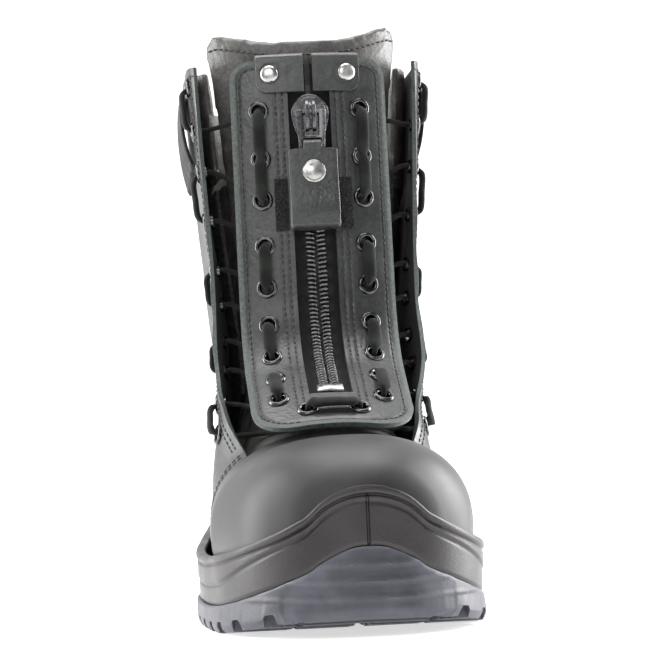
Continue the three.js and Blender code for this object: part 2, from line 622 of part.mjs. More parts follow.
// ---------------------------------------------------------------- zip panel
const TOP_ROUND = 9;
const FOOT_ROUND = 18;
const rounded = (gone, r) => (gone < r ? r - sqrt(max(0, r * r - (r - gone) ** 2)) : 0);
const panelHalf = (s) => PANEL_HALF - rounded(s, TOP_ROUND) - rounded(PANEL_LENGTH - s, FOOT_ROUND);
const panelRows = [0, 1, 3, 6, TOP_ROUND, ...bendRows(TOP_ROUND + 4, PANEL_LENGTH - FOOT_ROUND),
  PANEL_LENGTH - 13, PANEL_LENGTH - 8, PANEL_LENGTH - 4, PANEL_LENGTH - 1.5, PANEL_LENGTH];
const PANEL_THICK = LEATHER;
const slot = panelSlab(bendRows(-3, SLOT_END), () => [-SLOT_HALF, SLOT_HALF], -3, 5, 4);
const hole = (x, s, radius) => placedOn(new THREE.CylinderGeometry(radius, radius, 10, 9), x, s, 1);
const eyeletPlaces = [1, -1].flatMap((side) => [
  ...EYELET_ROWS.map((s) => [side * EYELET_X, s]), [side * FOOT_EYELET.x, FOOT_EYELET.s],
]);
const BARREL = 0.5;
const RIVET = { x: 16.5, s: 7, head: 3.9, shank: 1.6 };
add('zip_panel', cut(
  panelSlab(panelRows, (s) => [-panelHalf(s), panelHalf(s)], 0, PANEL_THICK, 8), slot,
  ...eyeletPlaces.map(([x, s]) => hole(x, s, EYELET_HOLE + BARREL + GAP)),
  ...[1, -1].map((side) => hole(side * RIVET.x, RIVET.s, RIVET.shank + GAP)),
), leather);

// Eyelet: a flanged barrel through the panel.
function eyelet() {
  const back = -1.2, face = PANEL_THICK + GAP;
  return new THREE.LatheGeometry([
    [EYELET_HOLE, back], [EYELET_HOLE + BARREL, back], [EYELET_HOLE + BARREL, face], [EYELET_RIM, face],
    [EYELET_RIM - 1, face + 1], [EYELET_HOLE, face + 0.7], [EYELET_HOLE, back],
  ].map(([r, h]) => new THREE.Vector2(r, h)), 9);
}
for (const [x, s] of eyeletPlaces) {
  const row = s === FOOT_EYELET.s ? 'foot' : EYELET_ROWS.indexOf(s) + 1;
  add(`eyelet_${x > 0 ? 'inner' : 'outer'}_${row}`, facingOut(placedOn(eyelet().toNonIndexed(), x, s)), nickel);
}

const TAPE_N = [-GAP - TAPE, -GAP];
const zipRows = bendRows(2, SLOT_END + 7);
const coilRows = bendRows(SLIDER_S[0] + 3, SLOT_END - 6);
for (const [which, side] of [['inner', 1], ['outer', -1]]) {
  const ends = (a, b) => () => (side > 0 ? [a, b] : [-b, -a]);
  add(`zip_tape_${which}`, panelSlab(zipRows, ends(COIL_GAP, TAPE_HALF), ...TAPE_N, 3), textile);
  add(`zip_coil_${which}`, panelSlab(coilRows, ends(COIL_GAP, COIL_HALF), 0, COIL_THICK, 1), darkMetal);
}
add('zip_bottom_stop', panelSlab(
  [SLOT_END - 5.5, SLOT_END - 3, SLOT_END - 0.6], () => [-COIL_HALF - 0.9, COIL_HALF + 0.9], 0, COIL_THICK + 1, 2,
), nickel);

// Top tabs: leather folded over the panel's top edge beside the zip, one rivet in each.
const TAB = { from: 2, to: 23, front: 15, back: 12, thick: 1.8 };
function foldedTab(side) {
  const face = PANEL_THICK + GAP, rear = TAPE_N[0] - GAP;
  const outer = [[TAB.front, face + TAB.thick], [4, face + TAB.thick], [-1, face + TAB.thick], [-2.6, face + 0.4],
    [-2.6, rear - 0.4], [-1, rear - TAB.thick], [4, rear - TAB.thick], [TAB.back, rear - TAB.thick]];
  const inner = [[TAB.front, face], [4, face], [-0.2, face], [-0.8, face - 0.4],
    [-0.8, rear + 0.4], [-0.2, rear], [4, rear], [TAB.back, rear]];
  const xs = spread(side * TAB.from, side * TAB.to, 3);
  const grid = (line) => line.map(([s, n]) => xs.map((x) => panelPoint(x, s, n)));
  return cut(slab(grid(outer), grid(inner)), hole(side * RIVET.x, RIVET.s, RIVET.shank + GAP));
}
function rivet(side) {
  const face = PANEL_THICK + TAB.thick + 3 * GAP;
  const rear = TAPE_N[0] - GAP - TAB.thick - GAP;
  const profile = [[0, rear - 1], [RIVET.head - 0.6, rear - 1], [RIVET.head - 0.6, rear], [RIVET.shank, rear],
    [RIVET.shank, face], [RIVET.head, face], [RIVET.head, face + 0.6], [RIVET.head - 1, face + 1.3], [0, face + 1.5]];
  return facingOut(placedOn(new THREE.LatheGeometry(
    profile.map(([r, h]) => new THREE.Vector2(r, h)), 14,
  ).toNonIndexed(), side * RIVET.x, RIVET.s));
}
const HOOK = { x: [11.4, 17.2], s: [54, 77], thick: 1.1 };
for (const [which, side] of [['inner', 1], ['outer', -1]]) {
  add(`top_tab_${which}`, foldedTab(side), leather);
  add(`rivet_${which}`, rivet(side), nickel);
  const face = PANEL_THICK + GAP;
  add(`hook_patch_${which}`, panelSlab(
    HOOK.s, () => (side > 0 ? HOOK.x : [-HOOK.x[1], -HOOK.x[0]]), face, face + HOOK.thick, 2,
  ), textile);
}

// ---------------------------------------------------------------- slider, puller and pull tab
// They lie on the panel's straight part. flat(x, s, n) is the plane that touches it along its middle.
const flat = (x, s, n) => panelPoint(0, s, n).add(new THREE.Vector3(x, 0, 0));
const PIVOT = { s: 25, n: COIL_THICK + 3.7, pin: 0.9 };
const BAR = { s: 40.6, n: COIL_THICK + 3.7, half: 0.75 };
const PULLER = { half: 6.6, window: 3.4, slot: 4.6, thick: 1.5 };
const PULL = { half: 10.8, neck: 4.1, thick: 1.7, inner: 1.45, length: 34 };
const SNAP_DOWN = 11.6;        // press stud's centre below the bar

// Closed prism from an outline, whose two ends are placed by near and far.
function prism(outline, near, far) {
  const points = outline.map(([p, q]) => new THREE.Vector2(p, q));
  if (THREE.ShapeUtils.isClockWise(points)) points.reverse();
  const a = points.map(near), b = points.map(far);
  const positions = [];
  const tri = (p, q, r) => positions.push(...p.toArray(), ...q.toArray(), ...r.toArray());
  for (const [i, j, k] of THREE.ShapeUtils.triangulateShape(points, [])) {
    tri(a[k], a[j], a[i]);
    tri(b[i], b[j], b[k]);
  }
  points.forEach((_, i) => {
    const k = (i + 1) % points.length;
    tri(a[i], a[k], b[k]);
    tri(a[i], b[k], b[i]);
  });
  return facingOut(geometryOf(positions));
}
// Outlines in (s, n) reach across the boot, those in (x, s) stand out of the panel.
const acrossX = (outline, x0, x1) => prism(
  outline, ({ x: s, y: n }) => flat(x0, s, n), ({ x: s, y: n }) => flat(x1, s, n),
);
const outOf = (outline, n0, n1) => prism(
  outline, ({ x, y: s }) => flat(x, s, n0), ({ x, y: s }) => flat(x, s, n1),
);
const block = (x0, x1, s0, s1, n0, n1) => outOf([[x0, s0], [x1, s0], [x1, s1], [x0, s1]], n0, n1);

const [sTop, sEnd] = SLIDER_S;
const shield = [[-4, sTop], [4, sTop], [SLIDER_HALF, sTop + 6.5], [SLIDER_HALF, sTop + 10],
  [5.6, sEnd], [-5.6, sEnd], [-SLIDER_HALF, sTop + 10], [-SLIDER_HALF, sTop + 6.5]];
const plateTop = COIL_THICK + GAP;
const plateBack = TAPE_N[0] - GAP;
const bridgeTop = PIVOT.n + 2;
const slider = join(
  outOf(shield, plateTop, plateTop + 1.3), outOf(shield, plateBack - 1.1, plateBack),
  block(-COIL_GAP + GAP, COIL_GAP - GAP, sTop, sTop + 3.5, plateBack - 0.5, plateTop + 0.5),
  acrossX([[sTop + 2, plateTop + 1], [sEnd - 3.5, plateTop + 1], [sEnd - 4.5, bridgeTop - 1.5],
    [PIVOT.s + 2, bridgeTop], [sTop + 5, bridgeTop - 0.3]], -2.3, 2.3),
);
const pivotHole = acrossX(
  spread(0, 2 * PI, 12).slice(0, 12).map((a) => [PIVOT.s + 1.35 * cos(a), PIVOT.n + 1.35 * sin(a)]), -5, 5,
);
add('slider', cut(slider, pivotHole), darkMetal);

const pullerN = [PIVOT.n - PULLER.thick / 2, PIVOT.n + PULLER.thick / 2];
const pullerPlate = outOf([[-PULLER.half, PIVOT.s - 1], [PULLER.half, PIVOT.s - 1], [PULLER.half - 0.8, BAR.s + BAR.half],
  [-PULLER.half + 0.8, BAR.s + BAR.half]], ...pullerN);
const window = outOf([[-PULLER.window, PIVOT.s - 4], [PULLER.window, PIVOT.s - 4], [PULLER.window, PIVOT.s + 9],
  [PULLER.window - 2, PIVOT.s + 10.5], [2 - PULLER.window, PIVOT.s + 10.5], [-PULLER.window, PIVOT.s + 9]], -2, 20);
const strapSlot = block(-PULLER.slot, PULLER.slot, PIVOT.s + 12, BAR.s - BAR.half, -2, 20);
const pin = acrossX(
  spread(0, 2 * PI, 10).slice(0, 10).map((a) => [PIVOT.s + PIVOT.pin * cos(a), PIVOT.n + PIVOT.pin * sin(a)]),
  -PULLER.window - 1, PULLER.window + 1,
);
add('puller', join(cut(pullerPlate, window, strapSlot), pin), darkMetal);

// Pull tab: one leather strap looped round the puller's bar, narrow in the slot, wide below it.
function loopBand(x0, x1, from) {
  const outerR = PULL.inner + PULL.thick, steps = 7;
  const arc = (r, s, a0, a1) => spread(a0, a1, steps).map((a) => [s + r * cos(a), BAR.n + r * sin(a)]);
  const low = BAR.s + PULL.length;
  const top = arc(outerR, BAR.s, PI / 2, 3 * PI / 2), foot = arc(outerR, low, -PI / 2, PI / 2);
  const inTop = arc(PULL.inner, BAR.s, PI / 2, 3 * PI / 2), inFoot = arc(PULL.inner, low, -PI / 2, PI / 2);
  const whole = cut(acrossX([...top, ...foot], x0, x1), acrossX([...inTop, ...inFoot], x0 - 1, x1 + 1));
  return from === null ? whole : cut(whole, block(x0 - 1, x1 + 1, BAR.s - 9, BAR.s + from, -5, 20));
}
const NECK_END = 1.6;
const snapS = BAR.s + SNAP_DOWN;
const onBar = (geometry) => {
  const o = flat(0, snapS, 0);
  const out = flat(0, snapS, 1).sub(o);
  const turn = new THREE.Quaternion().setFromUnitVectors(new THREE.Vector3(0, 1, 0), out);
  return facingOut(geometry.toNonIndexed().applyQuaternion(turn).translate(o.x, o.y, o.z));
};
const stack = (profile, sides = 18) => onBar(new THREE.LatheGeometry(
  profile.map(([r, n]) => new THREE.Vector2(r, n)), sides,
));
const SNAP = { head: 5.1, shank: 1.5 };
const snapHole = stack([[0, -3], [SNAP.shank + GAP, -3], [SNAP.shank + GAP, 20], [0, 20]], 10);
add('pull_tab', cut(join(
  loopBand(-PULL.half, PULL.half, NECK_END), loopBand(-PULL.neck, PULL.neck, null),
), snapHole), leather);
const pullFace = BAR.n + PULL.inner + PULL.thick;
const pullBack = BAR.n - PULL.inner - PULL.thick;
add('snap_cap', stack([[0, BAR.n + 0.2], [2.6, BAR.n + 0.2], [2.6, BAR.n + PULL.inner - GAP],
  [SNAP.shank, BAR.n + PULL.inner - GAP], [SNAP.shank, pullFace + GAP], [SNAP.head, pullFace + GAP],
  [SNAP.head, pullFace + 0.8], [SNAP.head - 1.2, pullFace + 1.5], [0, pullFace + 1.7]]), nickel);
add('snap_stud', stack([[0, pullBack + 0.1], [SNAP.shank, pullBack + 0.1],
  [SNAP.shank, BAR.n - PULL.inner + GAP], [3.4, BAR.n - PULL.inner + GAP], [3.4, BAR.n - 0.5], [0, BAR.n - 0.2]], 12), nickel);

// ---------------------------------------------------------------- lace
// One lace: outside each quarter between two holes, behind to the panel, over its front between
// eyelets, and so on down both sides, which meet across the two eyelets at the panel's foot.
const UNDER = -3.6;            // lace behind the panel
const OVER = PANEL_THICK + 4;  // lace over its face
const OUTSIDE = 3.4;           // lace over a quarter's face
function sideRoute(side) {
  const x = side * EYELET_X;
  const on = (s, n, dx = 0) => offPanel(x + side * dx, s, n);
  const over = (s0, s1) => [
    on(s0, UNDER), on(s0, -1), on(s0, PANEL_THICK), on(s0 + 1.1, OVER - 0.9), on((s0 + s1) / 2, OVER),
    on(s1 - 1.1, OVER - 0.9), on(s1, PANEL_THICK), on(s1, -1), on(s1, -2), on(s1, UNDER),
  ];
  const outside = ([v0, v1]) => {
    const at = (v, depth) => quarterSkin(v, holeAngle(v, side), depth);
    const step = (v1 - v0) * 0.12;
    return [at(v0, -6), at(v0, -1), at(v0 + step, OUTSIDE - 0.5), at((v0 + v1) / 2, OUTSIDE),
      at(v1 - step, OUTSIDE - 0.5), at(v1, -1), at(v1, -6)];
  };
  const [e1, e2, e3, e4, e5, e6, e7, e8, e9] = EYELET_ROWS;
  const [a, b, c, d, e] = LACE_LEVELS.map(outside);
  const foot = (n, dx = 0) => offPanel(side * FOOT_EYELET.x, FOOT_EYELET.s, n).add(new THREE.Vector3(-side * dx, 0, 0));
  return [
    ...a.slice(1), ...over(e1, e2).slice(0, -4), on(e2 + 3.5, OVER - 0.6),
    ...over(e2 + 4, e3).slice(4), ...b, ...over(e4, e5), ...c, ...over(e6, e7), ...d, ...over(e8, e9),
    ...e.slice(0, -1), quarterSkin(LACE_LEVELS[4][1], holeAngle(LACE_LEVELS[4][1], side), -5),
    foot(UNDER - 0.8, -0.5), foot(-1), foot(PANEL_THICK), foot(OVER - 0.9, 1.1), foot(OVER - 0.4, 6),
  ];
}
class Route extends THREE.CatmullRomCurve3 {
  constructor(points) { super(points, false, 'centripetal'); this.arcLengthDivisions = 1500; }
}
const route = new Route([...sideRoute(-1), ...sideRoute(1).reverse()]);
export const laceRoute = route.points;

// Tube with round sections and flat ends, kept square to the route.
function tube(curve, radiusAt, steps, sides) {
  const centres = spread(0, 1, steps).map((u) => curve.getPointAt(u));
  const ahead = spread(0, 1, steps).map((u) => curve.getTangentAt(u));
  let up = new THREE.Vector3(0, 0, 1).cross(ahead[0]).normalize();
  const rings = centres.map((c, i) => {
    up = up.clone().addScaledVector(ahead[i], -up.dot(ahead[i])).normalize();
    const right = ahead[i].clone().cross(up), radius = radiusAt(c);
    return spread(0, 2 * PI, sides).slice(0, sides).map((a) => c.clone()
      .addScaledVector(up, radius * cos(a)).addScaledVector(right, radius * sin(a)));
  });
  const positions = [];
  const tri = (p, q, r) => positions.push(...p.toArray(), ...q.toArray(), ...r.toArray());
  for (let i = 0; i < steps; i += 1) {
    for (let k = 0; k < sides; k += 1) {
      const m = (k + 1) % sides;
      tri(rings[i][k], rings[i][m], rings[i + 1][m]);
      tri(rings[i][k], rings[i + 1][m], rings[i + 1][k]);
    }
  }
  for (let k = 1; k < sides - 1; k += 1) {
    tri(rings[0][0], rings[0][k + 1], rings[0][k]);
    tri(rings[steps][0], rings[steps][k], rings[steps][k + 1]);
  }
  return facingOut(geometryOf(positions));
}
const openSpans = [1, -1].flatMap((side) => [
  ...[[0, 1], [1, 2], [3, 4], [5, 6], [7, 8]].map(([i, k]) => offPanel(
    side * EYELET_X, (EYELET_ROWS[i] + EYELET_ROWS[k]) / 2, OVER,
  )),
  ...LACE_LEVELS.map(([v0, v1]) => {
    const v = (v0 + v1) / 2;
    return quarterSkin(v, holeAngle(v, side), OUTSIDE);
  }),
]);
const laceRadius = (p) => {
  const near = min(...openSpans.map((q) => q.distanceTo(p)));
  return LACE_FULL - (LACE_FULL - LACE_THIN) * smooth(near, 3.5, 7.5);
};
add('lace', tube(route, laceRadius, 190, 6), textile);

// ---------------------------------------------------------------- origin under the boot's middle
const box = new THREE.Box3().setFromObject(boot);
const middle = box.getCenter(new THREE.Vector3());
boot.position.set(-middle.x, -middle.y, -box.min.z);
boot.updateMatrixWorld(true);
export const shift = boot.position;

export default boot;
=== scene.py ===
# %% [markdown]
# A firefighter's boot, right foot. It stands on a pale floor, toe towards -Y, with its inner side
# towards +X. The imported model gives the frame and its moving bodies: the zip slider, its puller
# and the leather pull tab. Lengths are worked out in millimetres and turned to metres once, when
# a mesh is made, so that every number can be compared with a ruler held to a boot.

# %% Load the frame
import math

import bmesh
import bpy
import numpy as np
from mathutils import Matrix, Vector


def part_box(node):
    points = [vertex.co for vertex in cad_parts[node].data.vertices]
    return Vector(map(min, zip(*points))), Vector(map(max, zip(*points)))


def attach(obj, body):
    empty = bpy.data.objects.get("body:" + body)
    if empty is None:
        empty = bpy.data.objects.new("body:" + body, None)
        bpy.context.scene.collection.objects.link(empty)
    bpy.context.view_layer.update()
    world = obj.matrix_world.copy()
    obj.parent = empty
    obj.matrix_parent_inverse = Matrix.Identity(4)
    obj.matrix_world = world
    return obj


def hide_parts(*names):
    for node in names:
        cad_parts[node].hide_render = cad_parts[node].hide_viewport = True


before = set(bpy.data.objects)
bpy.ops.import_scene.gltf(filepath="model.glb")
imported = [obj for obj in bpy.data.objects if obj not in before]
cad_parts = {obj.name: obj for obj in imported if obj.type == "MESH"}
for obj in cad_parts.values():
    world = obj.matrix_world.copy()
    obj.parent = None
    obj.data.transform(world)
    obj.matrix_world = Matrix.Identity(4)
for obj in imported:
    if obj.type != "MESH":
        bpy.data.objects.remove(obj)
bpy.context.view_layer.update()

# %% [markdown]
# The design is drawn from its own origin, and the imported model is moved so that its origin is
# under the boot's middle. The steel shank is symmetrical, so its box says how far: its middle
# was drawn at x = 0 and y = 44 mm.

# %% Move from the drawing to the frame
MM = 0.001
shank_low, shank_high = (np.array(c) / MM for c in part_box("shank"))
SHIFT = np.array([(shank_low[0] + shank_high[0]) / 2, (shank_low[1] + shank_high[1]) / 2 - 44, 0])
print("shift in mm:", SHIFT.round(3))

# %% [markdown]
# The camera stands a little above the floor, about a metre from the toe and 5 degrees towards
# the outer side, with a long lens, so that the boot looks upright and nearly flat.

# %% Camera
LENS = 146.5
CAMERA_AT = np.array([-108.0, -1152.0, 80.0]) * MM
LOOK_YAW = math.radians(-5.44)
LOOK_UP = math.radians(2.25)
ROLL = math.radians(2.5)

camera_data = bpy.data.cameras.new("camera")
camera_data.lens = LENS
camera_data.clip_start = 0.05
camera = bpy.data.objects.new("camera", camera_data)
bpy.context.collection.objects.link(camera)
camera.location = CAMERA_AT
camera.rotation_mode = "XYZ"
camera.rotation_euler = (math.pi / 2 + LOOK_UP, ROLL, LOOK_YAW)
bpy.context.scene.camera = camera

# %% [markdown]
# Studio light: a wide soft panel in front, two tall strips behind the sides that draw bright
# edges on the leather, and one above. A white paper sweep is the floor and the background: it
# runs forward under the camera, curves up behind the boot, and gives back a little light itself,
# which is what makes its far end as bright as the floor.

# %% Light and floor
def area_light(name, place, aim, size, power):
    """A rectangular lamp at place, turned to face aim, both in millimetres."""
    lamp = bpy.data.lights.new(name, "AREA")
    lamp.shape = "RECTANGLE"
    lamp.size, lamp.size_y = size[0] * MM, size[1] * MM
    lamp.energy = power
    lamp_object = bpy.data.objects.new(name, lamp)
    bpy.context.collection.objects.link(lamp_object)
    lamp_object.location = [c * MM for c in place]
    away = Vector([(p - a) * MM for p, a in zip(place, aim)])
    lamp_object.rotation_euler = away.to_track_quat("Z", "Y").to_euler()
    return lamp_object


area_light("front_fill", (-350, -1250, 800), (0, 0, 110), (800, 600), 9)
area_light("outer_strip", (-620, 120, 260), (0, 0, 140), (260, 800), 10)
area_light("inner_strip", (620, 120, 260), (0, 0, 140), (260, 800), 14)
area_light("top_soft", (0, 60, 1000), (0, 0, 100), (700, 700), 13)

world = bpy.data.worlds.new("pale_room")
bpy.context.scene.world = world
world.use_nodes = True
world.node_tree.nodes["Background"].inputs["Color"].default_value = (1, 1, 1, 1)
world.node_tree.nodes["Background"].inputs["Strength"].default_value = 0.45
bpy.context.scene.view_settings.view_transform = "Standard"

# %% [markdown]
# The boot's surface is swept from the toe to the top of the shaft. Each section is a closed
# curve between a front point and a back point, and each layer of leather is a patch of that
# surface at its own depth. The functions below work out whole arrays of points at once.

# %% Smooth curves and the foot's plan
def through(knots, values, x):
    """Cubic through (knots, values): each knot's slope is that between its two neighbours."""
    k, f, x = (np.asarray(q, float) for q in (knots, values, x))
    before = np.maximum(np.arange(len(k)) - 1, 0)
    after = np.minimum(np.arange(len(k)) + 1, len(k) - 1)
    slope = (f[after] - f[before]) / (k[after] - k[before])
    i = np.clip(np.searchsorted(k, x, side="left") - 1, 0, len(k) - 2)
    h = k[i + 1] - k[i]
    u = (x - k[i]) / h
    return ((2 * u**3 - 3 * u**2 + 1) * f[i] + (u**3 - 2 * u**2 + u) * h * slope[i]
            + (3 * u**2 - 2 * u**3) * f[i + 1] + (u**3 - u**2) * h * slope[i + 1])


def smooth(x, a, b):
    """0 below a, 1 above b, with an S-shaped rise between them."""
    u = np.clip((np.asarray(x, float) - a) / (b - a), 0, 1)
    return u * u * (3 - 2 * u)


TOE_Y, HEEL_Y = -151.0, 147.0
TOE_HEIGHT = 75.0
BALL_HALF, SHAFT_HALF = 54.0, 53.0
PLAN_Y = [TOE_Y, -125, -95, -65, -30, 10, 50, 90, 120, HEEL_Y]
PLAN_IN = [46, 47, 47, 48, 46, 38, 36, 38, 38, 36]
PLAN_OUT = [44, 48, 51, BALL_HALF, 55, 51, 45, 40, 38, 36]


def plan_half(y, inner):
    """Half width of the foot at y: a curve through measured widths, rounded off at both ends."""
    width = np.where(inner, through(PLAN_Y, PLAN_IN, y), through(PLAN_Y, PLAN_OUT, y))
    toe = np.clip((TOE_Y + 62 - y) / 62, 0, 1)
    heel = np.clip((y - HEEL_Y + 40) / 40, 0, 1)
    return width * (1 - toe**2.3) ** 0.46 * (1 - heel**2.2) ** 0.46


GROUND_Y = [TOE_Y - 10, -120, -95, -70, HEEL_Y + 10]
BED_Y = [TOE_Y, -110, -60, 0, 50, 100, HEEL_Y]
EDGE_Y = [TOE_Y, TOE_Y + 2, TOE_Y + 6, -134, -116, -88, -55, 0, 60, HEEL_Y]
ground_z = lambda y: np.maximum(0, through(GROUND_Y, [9, 2.88, 0.4, 0, 0], y))
bed_z = lambda y: through(BED_Y, [26, 22, 21, 25, 29, 33, 33], y)
wave_z = lambda y: through(EDGE_Y, [35, 31, 25, 19, 14, 11, 10.5, 12, 15, 18], y)
rand_z = lambda y: through(EDGE_Y, [58, 54, 46, 39, 34, 31, 30, 33, 40, 46], y)

# %% The zip panel's own frame
LEAN, SLOPE = math.radians(4), math.radians(57)
PANEL_STRAIGHT, PANEL_BEND, PANEL_ROUND = 105.0, 45.0, 110.0
BEND_LENGTH = PANEL_BEND * (SLOPE - LEAN)


def panel_line(s):
    """Front line of the panel: straight down, then an arc over the instep, then straight."""
    s = np.asarray(s, float)
    up = np.maximum(0, PANEL_STRAIGHT - s)
    tilt = np.clip(LEAN + (s - PANEL_STRAIGHT) / PANEL_BEND, LEAN, SLOPE)
    rest = np.maximum(0, s - PANEL_STRAIGHT - BEND_LENGTH)
    y = 6 + up * math.sin(LEAN) - PANEL_BEND * (math.cos(LEAN) - np.cos(tilt)) - rest * math.sin(SLOPE)
    z = 140 + up * math.cos(LEAN) - PANEL_BEND * (np.sin(tilt) - math.sin(LEAN)) - rest * math.cos(SLOPE)
    return y, z, tilt


def on_panel(x, s, n=0.0):
    """Point of the panel: x across, s down from its top, n out of its back, all in mm."""
    x, s, n = np.broadcast_arrays(np.asarray(x, float), np.asarray(s, float), np.asarray(n, float))
    y, z, tilt = panel_line(s)
    out = n - x**2 / (2 * PANEL_ROUND)
    return np.stack([x, y - out * np.cos(tilt), z + out * np.sin(tilt)], -1)


def unit(a):
    """Each vector divided by its length."""
    return a / np.maximum(np.linalg.norm(a, axis=-1, keepdims=True), 1e-9)


def square_to_panel(x, s):
    """Outward direction of the curved panel face: across x along, turned to face the toe."""
    across = on_panel(x + 0.5, s) - on_panel(x - 0.5, s)
    down = on_panel(x, s + 0.5) - on_panel(x, s - 0.5)
    return -unit(np.cross(across, down))


# %% Sections of the boot
LEVELS = np.arange(15.0)
line_y, line_z, line_tilt = panel_line([178, 152, 130, 110, 90, 62, 30, 0, -24])
PANEL_STAND = 7.0
FRONT_Y = np.r_[TOE_Y, TOE_Y + 3, TOE_Y + 12, TOE_Y + 31, TOE_Y + 60, TOE_Y + 84,
                line_y + PANEL_STAND * np.cos(line_tilt)]
FRONT_Z = np.r_[41, 54, 66, TOE_HEIGHT - 1, TOE_HEIGHT, TOE_HEIGHT - 0.5,
                line_z - PANEL_STAND * np.sin(line_tilt)]
BACK_Y = np.array([TOE_Y, TOE_Y + 2, TOE_Y + 10, -124, -88, -54, 2, 62, 116, HEEL_Y - 2, HEEL_Y,
                   138, 127, 121, 120])
BACK_Z = np.r_[31, bed_z(TOE_Y) + 1, bed_z([-140, -124, -88, -54, 2, 62]), bed_z(116) + 1,
               47, 76, 122, 184, 244, 262]
MID_Y = np.array([TOE_Y + 0.9, TOE_Y + 2.5, TOE_Y + 11, -122, -89, -58])
SHAFT_WIDTHS = [41, 40, 42, 46, 50, SHAFT_HALF, SHAFT_HALF]
WIDTH_IN = np.r_[plan_half(MID_Y, True), 47, 42, SHAFT_WIDTHS]
WIDTH_OUT = np.r_[plan_half(MID_Y, False), 52, 47, SHAFT_WIDTHS]
WIDEST = [0, -0.1, -0.2, -0.3, -0.35, -0.35, -0.4, -0.35, -0.2, 0, 0, 0, 0, 0, 0]
SQUARE_TOP = [2, 2, 2.15, 2.3, 2.35, 2.3, 2.1, 2, 2, 2, 2.1, 2.2, 2.2, 2.2, 2.2]
SQUARE_BACK = [2, 2.4, 2.8, 3.2, 3.4, 3.4, 3.2, 3, 2.7, 2.4, 2.2, 2.1, 2.1, 2.1, 2.1]
THROAT, TOP_LEVEL = 5.7, 13.0
WING_SQUARE = 5.8
pick = lambda values, v: through(LEVELS, values, v)
wing_flare = lambda v: through([THROAT, 7, 8.2, 9.5, 11, 13, 14], [0, 6, 14, 13, 8, 2, 2], v)


def section(v, t, winged):
    """Point of section v at angle t: a superellipse between the front and the back point.

    winged moves the front edges of the quarters forwards and apart, as loose lacing leaves them.
    """
    t = np.where(t > math.pi, t - 2 * math.pi, t)
    wing = smooth(v, THROAT, THROAT + 1.8) if winged else 0.0
    width = np.where(t >= 0, pick(WIDTH_IN, v), pick(WIDTH_OUT, v))
    mid = pick(WIDEST, v)
    fore = np.cos(t) >= 0
    square = np.where(fore, pick(SQUARE_TOP, v) + wing * WING_SQUARE, pick(SQUARE_BACK, v))
    c = np.abs(np.cos(t)) ** (2 / square)
    a = np.where(fore, mid + (1 - mid) * c, mid - (1 + mid) * c)
    x = width * np.sign(np.sin(t)) * np.abs(np.sin(t)) ** (2 / square)
    if winged:
        x = x + np.sign(t) * wing * wing_flare(v) * (1 - smooth(np.abs(t), 0.35, 1.55))
    y = (pick(FRONT_Y, v) * (1 + a) + pick(BACK_Y, v) * (1 - a)) / 2
    z = (pick(FRONT_Z, v) * (1 + a) + pick(BACK_Z, v) * (1 - a)) / 2
    return np.stack([x, y, z], -1)


def boot_skin(v, t, depth=0.0, winged=False):
    """Surface point moved out by depth along the normal of the two parameter directions."""
    v, t, depth = np.broadcast_arrays(*(np.asarray(q, float) for q in (v, t, depth)))
    h = 0.04
    along = section(np.minimum(v + h, 14), t, winged) - section(np.maximum(v - h, 0), t, winged)
    round_ = section(v, t + h, winged) - section(v, t - h, winged)
    normal = unit(np.cross(along, round_))
    centre = (section(v, 0 * t, False) + section(v, 0 * t + math.pi, False)) / 2
    place = section(v, t, winged)
    flip = np.sum(normal * (place - centre), -1, keepdims=True) < 0
    return place + np.where(flip, -normal, normal) * depth[..., None]


print("shaft top in mm:", boot_skin(TOP_LEVEL, np.array([0.5, 1.6, 3.1])).round(0).tolist())

# %% [markdown]
# Every piece is a mesh worked out as arrays of points. A leather piece is a closed shell: an
# outer grid, an inner grid and the cut edge between them. A Solidify modifier could give the
# thickness too, but two grids let the edge have its own finish and let the layers stay parallel.

# %% Mesh makers
def grid_faces(rows, cols, first=0, wrap=False, loop=False):
    """Four-sided faces of a grid numbered row by row; wrap joins last column to first, loop its rows."""
    i, j = np.meshgrid(np.arange(rows if loop else rows - 1), np.arange(cols if wrap else cols - 1),
                       indexing="ij")
    m, k = (i + 1) % rows, (j + 1) % cols
    return np.stack([i * cols + j, i * cols + k, m * cols + k, m * cols + j], -1).reshape(-1, 4) + first


def volume(points, faces):
    """Volume of a closed mesh: a pyramid from the origin to each triangle of each face, added up."""
    total = 0.0
    for size in {len(f) for f in faces}:
        same = np.array([f for f in faces if len(f) == size])
        for k in range(1, size - 1):
            a, b, c = points[same[:, 0]], points[same[:, k]], points[same[:, k + 1]]
            total += np.sum(a * np.cross(b, c)) / 6
    return total


